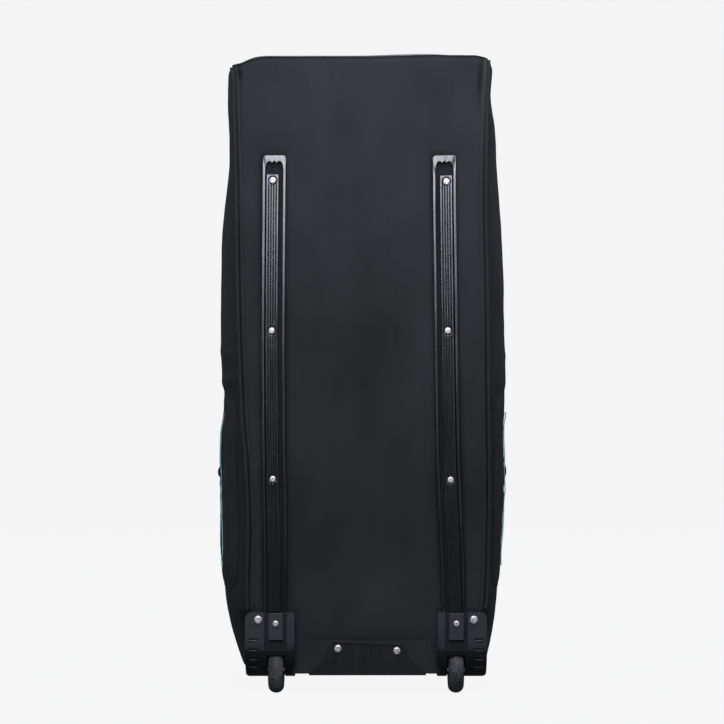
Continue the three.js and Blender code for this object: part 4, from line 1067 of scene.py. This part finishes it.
def pocket(side):
    """A patch pocket with a bound and stitched edge, laid on a side."""
    skin = sides[side]
    half, low, high = POCKET["half"], POCKET["low"], POCKET["high"]
    outline = rounded_outline((-half, low), (half, high), POCKET["corner"])
    middle = np.array([0.0, (low + high) / 2])
    shares = [1.0, 0.985, 0.96, 0.92, 0.87, 0.8, 0.7, 0.6, 0.5, 0.4, 0.3, 0.2, 0.1, 0.03]
    rings = [middle + (outline - middle) * share for share in shares]
    vertices = []
    for share, ring in zip(shares, rings):
        spots, ups = lay_on(skin, ring, (1, 2))
        inner = (1 - share) * half
        vertices.append(spots + ups * pocket_rise(side, spots, inner)[:, None])
    around = len(outline)
    faces = grid_faces(len(shares), around, order=BACK, loop=True)
    cap = tuple(range((len(shares) - 1) * around, len(shares) * around))
    faces.append(cap[::-1])
    if SIDES[side] > 0:
        faces = [face[::-1] for face in faces]
    piece(
        f"pocket_cloth_{side}", np.vstack(vertices), faces, CLOTH, uv=np.vstack(rings),
        replaces=[f"side_pocket_{side}"],
    )
    spots, ups = lay_on(skin, outline, (1, 2), 0.2 * MM)
    binding = flat_profile(BINDING["width"], BINDING["height"])
    band(f"pocket_binding_{side}", spots, ups, binding, CLOTH, closed=True)
    inner = middle + (outline - middle) * (1 - 3.0 * MM / half)
    spots, ups = lay_on(skin, inner, (1, 2), BINDING["height"] * 1.1 + 0.2 * MM)
    stitches(f"pocket_stitches_{side}", spots, ups, closed=True)


def pocket_zip(side):
    """A vertical zip on a bright tape, with coils down its middle."""
    low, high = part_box(f"side_zip_{side}")
    y = (low.y + high.y) / 2
    heights = np.linspace(max(low.z, POCKET["low"] + 8 * MM), min(high.z, POCKET["high"] - 5 * MM), 150)
    spots, ups = lay_on(sides[side], [(y, z) for z in heights], (1, 2))
    inner = np.minimum(heights - POCKET["low"], POCKET["high"] - heights)
    lift = pocket_rise(side, spots, inner) + 0.2 * MM + by_height(ZIP_LIFT[side], heights)
    spots += ups * lift[:, None]
    tape = flat_profile(high.y - low.y, 1.1 * MM)
    band(f"side_zip_tape_{side}", spots, ups, tape, TEAL, replaces=[f"side_zip_{side}"])
    zip_coils(f"side_zip_coils_{side}", spots, ups, 1.0 * MM)


def zip_coils(name, spots, ups, lift):
    """Two rows of small turns that mesh along a zip's middle."""
    rows, faces = arched_template(COIL["width"] * 0.62, COIL["pitch"] * 0.72, COIL["height"], lift)
    flipped = [face[::-1] for face in faces]
    path = spaced(spots, ups, COIL["pitch"])
    for k, shift in enumerate((-1, 1)):
        turnwise = [(b, a + shift * COIL["width"] * 0.24, c) for a, b, c in rows]
        copies(f"{name}_{k + 1}", turnwise, flipped, path, ZIP)


# Main zip on the front

def main_zip():
    middle, half, low, high = lid_frame()
    corner = LID["corner"]
    left_bend = arc((corner - half, high - corner), corner, 180, 90, 19)
    right_bend = arc((half - corner, high - corner), corner, 90, 0, 19)
    line = np.vstack([[(-half, low)], left_bend, right_bend, [(half, low)]])
    line[:, 0] += middle + LID["lean"] * (line[:, 1] - low)
    run = run_along(line)
    line = read_at(line, run, np.linspace(0, run[-1], 420))
    spots, ups = lay_on(front, line, (0, 2), 0.5 * MM)
    band("main_zip_tape", spots, ups, flat_profile(26 * MM, 0.8 * MM), WEBBING, replaces=["main_zip"])
    zip_coils("main_zip_coils", spots, ups, 0.8 * MM)
    side = np.cross(unit(np.gradient(spots, axis=0)), ups)
    for k, shift in enumerate((-10.5 * MM, 10.5 * MM)):
        stitches(f"main_zip_stitches_{k + 1}", spots + side * shift + ups * 0.8 * MM, ups)


# Handle on the top

def handle():
    """A webbing strap over its solid, with a boxed cross stitched at each end."""
    low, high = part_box("pull_handle")
    tree = rays("pull_handle")
    y = (low.y + high.y) / 2
    xs = np.linspace(low.x + 1 * MM, high.x - 1 * MM, 90)
    zs = np.array([hit(tree, (x, y, 2.0), (0, 0, -1)).z for x in xs])
    zs = smooth_line(zs, 2.0)
    path = np.stack([xs, np.full(len(xs), y), zs - 2.6 * MM], axis=1)
    strap = flat_profile(high.y - low.y - 1 * MM, 2.4 * MM)
    band("handle_strap", path, (0, 0, 1), strap, WEBBING, replaces=["pull_handle"])
    reach = (high.y - low.y) / 2 - 5 * MM
    for k, start in enumerate((low.x + 5 * MM, high.x - 30 * MM)):
        end = start + 25 * MM
        corners = [(start, y - reach), (end, y - reach), (end, y + reach), (start, y + reach)]
        runs = [corners[i] + corners[(i + 1) % 4] for i in range(4)]
        runs += [corners[0] + corners[2], corners[1] + corners[3]]
        for n, (xa, ya, xb, yb) in enumerate(runs):
            t = np.linspace(0, 1, 12)
            x, along = mix(xa, xb, t), mix(ya, yb, t)
            spots = np.stack([x, along, np.interp(x, xs, zs)], axis=1)
            stitches(f"handle_stitches_{k + 1}_{n + 1}", spots, np.tile([0.0, 0.0, 1.0], (12, 1)))


# Rails

# Away from the cloth
OUTWARD = np.array([0.0, -1.0, 0.0])


class RailFrame:
    """A rail's own frame: x across, y away from the cloth, z from its foot to its head."""

    def __init__(self, side):
        corners = corners_of(f"rail_channel_{side}")
        flat = corners[:, [0, 2]]
        middle = flat.mean(0)
        up = np.linalg.svd(flat - middle, full_matrices=False)[2][0]
        if up[1] < 0:
            up = -up
        run = (flat - middle) @ up
        self.up = np.array([up[0], 0.0, up[1]])
        self.across = np.array([up[1], 0.0, -up[0]])
        foot = middle + up * run.min()
        self.foot = np.array([foot[0], corners[:, 1].max(), foot[1]])
        self.length = run.max() - run.min()
        self.sign = SIDES[side]
        self.bow = np.array(RAIL_BOW[side])

    def bowed(self, z):
        shares = np.linspace(0, 1, 201)
        line = smooth_line(np.interp(shares, *self.bow.T), 8.0)
        return np.interp(z / self.length, shares, line) * MM

    def place(self, x, y, z):
        x = x + self.bowed(z)
        return self.foot + self.across * x[..., None] + self.up * z[..., None] + OUTWARD * y[..., None]


def rail_outline(half, top, corner, drop, tooth=0.0):
    """A line from one foot over a rail's head to the other, with bends and two small teeth at its head."""
    side = np.linspace(0, top - drop, 70)[:-1]
    bend = arc((0, 0), 1, 180, 90, 16) * (corner, drop) + (corner - half, top - drop)
    across = np.linspace(corner - half, half - corner, 32)[1:-1]
    teeth = dip(np.abs(across) - CHANNEL_TEETH["apart"], CHANNEL_TEETH["width"])
    left = np.stack([np.full(len(side), -half), side], axis=1)
    head = np.stack([across, top - tooth * teeth], axis=1)
    mirror = np.array([-1, 1])
    return np.vstack([left, bend, head, (bend * mirror)[::-1], (left * mirror)[::-1]])


def channel(side):
    """A rail's raised frame round its opening, and the opening's floor."""
    rail = RailFrame(side)
    height = CHANNEL["height"]
    opening = CHANNEL["half"] - CHANNEL["rim"]
    bed_top = rail.length - CHANNEL["end"]
    rings = []
    for inset, share in ((0.0, 0.025), (0.0, 0.66), (0.2, 0.86), (0.6, 0.965), (1.1, 1.0), (1.6, 1.0)):
        inset *= MM
        corner = CHANNEL["corner"] - inset
        rings.append((rail_outline(CHANNEL["half"] - inset, rail.length - inset, corner, corner), share))
    teeth = [CHANNEL_TEETH[key] for key in ("shoulder", "drop", "reach")]
    for outset, share in ((1.1, 1.0), (0.7, 1.0), (0.25, 0.97), (0.0, 0.9), (-0.2, 0.175)):
        outset *= MM
        rings.append((rail_outline(opening + outset, bed_top + outset, *teeth), share))
    count = len(rings[0][0])
    vertices = []
    for outline, share in rings:
        x, z = outline.T
        head = np.clip((z - (rail.length - 1.25 * CHANNEL["end"])) / CHANNEL["end"], 0, 1)
        placed = rail.place(x, (height - CHANNEL["slope"] * head ** 1.5) * share, z)
        wave = ripple(placed, (90, 1, 26), 61 + rail.sign) * 0.16 * MM * share
        vertices.append(placed + OUTWARD * wave[:, None])
    faces = grid_faces(len(rings), count, order=BACK)
    ends = [k * count for k in range(len(rings))]
    faces.append(tuple(ends[::-1]))
    faces.append(tuple(k + count - 1 for k in ends))
    piece(
        f"channel_frame_{side}", np.vstack(vertices), faces, RAIL,
        replaces=[f"rail_channel_{side}"], sharp=HARD_EDGE,
    )
    half = opening + 0.4 * MM
    x, z = np.meshgrid(np.linspace(-half, half, 9), np.linspace(0, bed_top + 0.4 * MM, 60))
    floor = rail.place(x, np.full(x.shape, 1.9 * MM), z)
    piece(f"channel_floor_{side}", floor.reshape(-1, 3), grid_faces(60, 9), RAIL_BED)


def bar(side):
    """The ribbed wear bar in a rail, smooth at its head and sunk round its screws."""
    rail = RailFrame(side)
    half, height, length = BAR["half"], BAR["height"], BAR_LENGTH[side]
    screws = []
    for name in NODES:
        if name.startswith(f"rail_screw_{side}"):
            middle = np.array(centre_of(name)) - rail.foot
            screws.append((middle @ rail.across, middle @ rail.up - SCREW_DROP.get(name, 0)))
    rows = [np.linspace(0, length - 1.2 * MM, 90), length - np.array([0.8, 0.45, 0.15, 0.0]) * MM]
    rows += [np.linspace(z - 8 * MM, z + 8 * MM, 27) for _, z in screws]
    rows = np.unique(np.clip(np.concatenate(rows), 0, length))
    across = np.concatenate([
        [-half, -half, -half + 0.15 * MM, -half + 0.5 * MM],
        np.linspace(-half + 0.9 * MM, half - 0.9 * MM, 57),
        [half - 0.5 * MM, half - 0.15 * MM, half, half],
    ])
    down = np.zeros(len(across))
    down[[1, -2]], down[[2, -3]], down[[3, -4]] = 0.7 * MM, 0.3 * MM, 0.07 * MM
    x, z = np.meshgrid(across, rows)
    y = height - np.tile(down, (len(rows), 1))
    pitch = 2 * half / BAR_RIBS
    ribbed = gate(length - BAR_PAD - z, 0.8 * MM)
    for k in range(1, BAR_RIBS):
        y -= BAR["groove"] * dip(x + half - k * pitch, 0.42 * MM) * ribbed
    y -= 0.8 * MM * np.clip(1 - (length - z) / (1.0 * MM), 0, 1) ** 2
    offset = rail.sign * BAR["offset"]
    for sx, sz in screws:
        distance = np.hypot(x + offset - sx, z - sz)
        y -= COUNTERBORE["depth"] * gate(COUNTERBORE["radius"] - distance, 0.22 * MM)
    y += 0.10 * MM * ripple(np.stack([x, z, z], axis=2), (240, 0, 22), 71 + rail.sign)
    y[:, [0, -1]] = 2.0 * MM
    points = rail.place(x + offset, y, z)
    faces = grid_faces(*x.shape, order=FORTH[::-1])
    faces += [cap[::-1] for cap in caps(*x.shape)]
    piece(
        f"rail_wear_bar_{side}", points.reshape(-1, 3), faces, RAIL,
        replaces=[f"rail_bar_{side}"], sharp=HARD_EDGE,
    )


def louvres(side):
    """Low rounded lips under the slots in a housing's outer half."""
    sign = SIDES[side]
    tree = rays(f"wheel_housing_{side}")
    low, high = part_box(f"wheel_housing_{side}")
    x0 = (low.x if sign < 0 else high.x) - sign * 11.6 * MM
    for k, z0 in enumerate(LOUVRE_HEIGHTS):
        vertices = []
        for v in np.linspace(-1, 1, 13):
            for u in np.linspace(-1, 1, 25):
                x = x0 + u * LOUVRE["width"] / 2
                z = z0 + v * LOUVRE["height"] / 2
                found = hit(tree, (x, -1.0, z), (0, 1, 0))
                bulge = (1 - u ** 4) * (1 - v ** 2) * (0.65 + 0.35 * v)
                vertices.append((x, found.y + 0.25 * MM - bulge * LOUVRE["proud"], z))
        piece(f"louvre_{side}_{k + 1}", vertices, grid_faces(13, 25), HOUSING)


# Screws

def screw(node):
    """A pan head with a cross recess, laid over the head of a screw's solid."""
    low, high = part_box(node)
    radius = (high.x - low.x) / 2
    x0, z0 = (low.x + high.x) / 2, (low.z + high.z) / 2
    shift = 0.0
    if node.startswith("rail_screw"):
        rail = RailFrame(node.split("_")[2])
        shift = rail.bowed(z0 - rail.foot[2])
    corners = corners_of(node)
    wide = corners[np.hypot(corners[:, 0] - x0, corners[:, 2] - z0) > radius * 0.9]
    seat = wide[:, 1].max()
    height = seat - low.y
    turn = math.radians(17 + 61 * (int(abs(x0) * 4000 + abs(z0) * 7000) % 6))
    shares = np.concatenate([np.linspace(0, 1, SCREW["rings"]), [1.0, 1.0, 0.5]])
    angles = np.linspace(0, 2 * np.pi, SCREW["around"], endpoint=False)
    share, angle = np.meshgrid(shares, angles, indexing="ij")
    x, z = np.cos(angle) * share * radius, np.sin(angle) * share * radius
    u, v = x * math.cos(turn) + z * math.sin(turn), z * math.cos(turn) - x * math.sin(turn)
    cross = np.maximum(recess(u, v, radius), recess(v, u, radius))
    y = seat - height * (1 - SCREW["dome"] * share ** 4 - SCREW["recess"] * cross)
    y[-3], y[-2:] = seat - height * 0.5, seat
    points = np.stack([x + x0 + shift, y, z + z0 - SCREW_DROP.get(node, 0)], axis=2)
    faces = grid_faces(*x.shape, loop=True)
    made = piece(f"{node}_head", points.reshape(-1, 3), faces, STEEL, replaces=[node])
    welded(made, 0.0001 * MM, HARD_EDGE)


def recess(along, across, radius):
    """1 inside one arm of the cross, 0 outside, with a soft edge."""
    half, length = SCREW["slot"][0] * radius, SCREW["slot"][1] * radius
    inside = np.minimum(half - np.abs(across), length - np.abs(along))
    return np.clip(0.5 + inside / (0.35 * half), 0, 1)


# Wheels and feet

AXLE = (1, 0, 0)
HUB = {"bore": 3.3 * MM, "boss": 8 * MM}
PIN = 3 * MM
FOOT_RADIUS = 15 * MM


def wheel(side):
    """Tyre, hub with spokes, and axle pin."""
    low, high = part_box(f"wheel_tyre_{side}")
    middle = (low + high) / 2
    radius = middle.z
    half = (high.x - low.x) / 2
    hub_low, hub_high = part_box(f"wheel_hub_{side}")
    rim = (hub_high.z - hub_low.z) / 2
    body = f"wheel_{side}"

    def worn(r, place, turn):
        if r < radius * 0.8:
            return r
        grain = noise.noise(Vector((place * 400, math.cos(turn) * 14, math.sin(turn) * 14)))
        return r - 0.12 * MM * (1 + grain)

    rows = [(rim + 0.3 * MM, -half * 0.93)]
    for angle in np.radians(np.linspace(-90, 90, 29)):
        crown = 0.12 + 0.88 * max(0.0, math.cos(angle)) ** 0.9
        rows.append((rim + (radius - rim) * crown, half * math.sin(angle) * 0.995))
    rows += [(rim + 0.3 * MM, half * 0.93), rows[0]]
    turned(f"tyre_{side}", rows, middle, AXLE, 96, RUBBER, body, f"wheel_tyre_{side}", worn)

    hub_half = half * 0.9
    rows = [(r, place * hub_half) for r, place in (
        (HUB["bore"], -1), (HUB["boss"], -1), (HUB["boss"] + 0.6 * MM, -0.9), (HUB["boss"] + 1.2 * MM, -0.45),
        (rim * 0.8, -0.45), (rim * 0.86, -0.85), (rim * 0.96, -0.92), (rim, -0.85),
    )]
    rows += [(r, -place) for r, place in reversed(rows)]
    rows.append(rows[0])
    turned(f"hub_{side}", rows, middle, AXLE, 64, HOUSING, body, f"wheel_hub_{side}")
    spokes(side, middle, HUB["boss"], rim * 0.84, hub_half * 0.82, body)

    low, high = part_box(f"wheel_axle_{side}")
    length = (high.x - low.x) / 2
    rows = [(0, -length), (PIN * 0.8, -length), (PIN, -length + 0.6 * MM)]
    rows += [(r, -place) for r, place in reversed(rows)]
    turned(f"axle_pin_{side}", rows, middle, AXLE, 40, STEEL, "bag", f"wheel_axle_{side}")


def spokes(side, middle, inner, outer, half, body):
    """Six ribs between the hub's boss and its rim, on both faces."""
    vertices, faces = [], []
    for k in range(6):
        angle = math.radians(60 * k + 12)
        out = Vector((0, math.cos(angle), math.sin(angle)))
        across = Vector((0, -math.sin(angle), math.cos(angle)))
        start = len(vertices)
        for radius, thick in ((inner, 1.8 * MM), ((inner + outer) / 2, 1.1 * MM), (outer, 1.9 * MM)):
            for place in (-half, half):
                for sign in (-1, 1):
                    vertices.append(middle + out * radius + across * thick * sign + Vector((place, 0, 0)))
        for a in (start, start + 4):
            for b, c in ((0, 1), (3, 2), (2, 0), (1, 3)):
                faces.append((a + b, a + b + 4, a + c + 4, a + c))
    piece(f"hub_spokes_{side}", vertices, faces, HOUSING, body)


def foot(side):
    low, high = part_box(f"front_foot_{side}")
    tall = high.z - low.z
    rows = [(FOOT_RADIUS * share, tall * height) for share, height in (
        (0, 0), (0.62, 0), (0.76, 0.5 * MM / tall), (0.88, 2 * MM / tall), (0.93, 0.14), (0.93, 0.3),
        (0.9, 0.33), (0.9, 0.38), (0.93, 0.41), (0.94, 0.7), (1.0, 0.86), (1.12, 0.94), (1.2, 1.0), (0, 1.0),
    )]
    centre = ((low.x + high.x) / 2, (low.y + high.y) / 2, low.z)
    turned(f"foot_{side}", rows, centre, (0, 0, 1), 64, HOUSING, "bag", f"front_foot_{side}")


seam_pieces()
main_zip()
handle()
for side in SIDES:
    pocket(side)
    pocket_zip(side)
    wheel(side)
    foot(side)
    moulded(f"wheel_housing_{side}", 0.7 * MM, HOUSING, shade=HOUSING_PAINTED_SHADE)
    channel(side)
    bar(side)
    louvres(side)
    moulded(f"rail_block_{side}", 0.8 * MM, HOUSING)
    moulded(f"side_zip_pull_{side}", 0.5 * MM, ZIP)
moulded("guard_plate", 0.7 * MM, GUARD)
for half in ("left", "right"):
    moulded(f"main_zip_{half}_slider", 0.5 * MM, STEEL)
    moulded(f"main_zip_{half}_pull", 0.4 * MM, ZIP)
for name in NODES:
    if "screw" in name:
        screw(name)


# Stage, light and camera

def stage():
    """A pale floor that curves up into a wall all round."""
    rings = [(0.0, 0.0), (2.0, 0.0), (4.5, 0.0), (6.5, 0.0)]
    rings += [(6.5 + 2.5 * math.sin(t), 2.5 * (1 - math.cos(t))) for t in np.linspace(0.2, math.pi / 2, 8)]
    rings += [(9.0, 5.0), (9.0, 7.0)]
    turns = [2 * math.pi * k / 64 for k in range(64)]
    vertices = [(r * math.cos(turn), r * math.sin(turn), z) for r, z in rings for turn in turns]
    faces = grid_faces(len(rings), 64, loop=True)
    mesh = bpy.data.meshes.new("studio_floor")
    mesh.from_pydata(vertices, [], faces)
    mesh.shade_smooth()
    material = surface(
        "pale_floor", Base_Color=(0.03, 0.03, 0.03, 1), Roughness=0.9, Specular_IOR_Level=0.0,
        Emission_Color=(1, 1, 1, 1), Emission_Strength=STAGE_GLOW,
    )[0]
    mesh.materials.append(material)
    floor = bpy.data.objects.new("studio_floor", mesh)
    bpy.context.scene.collection.objects.link(floor)
    floor.visible_diffuse = floor.visible_glossy = floor.visible_shadow = False


def softbox(name, place, target, width, height, watts):
    data = bpy.data.lights.new(name, "AREA")
    data.shape = "RECTANGLE"
    data.size, data.size_y = width, height
    data.energy = watts
    data.color = (0.86, 0.885, 1.0)
    light = bpy.data.objects.new(name, data)
    light.location = place
    light.rotation_euler = (Vector(target) - Vector(place)).to_track_quat("-Z", "Y").to_euler()
    bpy.context.scene.collection.objects.link(light)


STAGE_GLOW = 0.905
stage()
softbox("key", (-0.1, -2.7, 1.5), (0, -0.15, 1.0), 0.9, 1.4, 36)
softbox("high_key", (-0.1, -1.0, 1.85), (0, -0.15, 0.75), 0.9, 0.4, 12)
softbox("right_key", (0.4, -0.65, 1.3), (0.19, -0.15, 0.87), 0.2, 0.2, 2.6)
softbox("side_left", (-2.7, 0.5, 1.7), (0, 0.1, 0.5), 1.0, 1.6, 14)
softbox("side_right", (2.7, 0.5, 1.7), (0, 0.1, 0.5), 1.0, 1.6, 14)
softbox("front_key", (0.4, 2.4, 3.0), (0, 0.15, 0.7), 1.5, 1.2, 48)

world = bpy.data.worlds.new("studio")
world.use_nodes = True
sky = world.node_tree.nodes["Background"].inputs
sky["Color"].default_value = (0.85, 0.89, 1.0, 1)
sky["Strength"].default_value = 0.07
bpy.context.scene.world = world
bpy.context.scene.view_settings.view_transform = "Standard"

lens = bpy.data.cameras.new("camera")
lens.lens = CAMERA["lens"]
lens.sensor_width = 36.0
lens.clip_end = 60
camera = bpy.data.objects.new("camera", lens)
camera.location = CAMERA["place"]
camera.rotation_euler = (math.pi / 2, 0, 0)
bpy.context.scene.collection.objects.link(camera)
bpy.context.scene.camera = camera
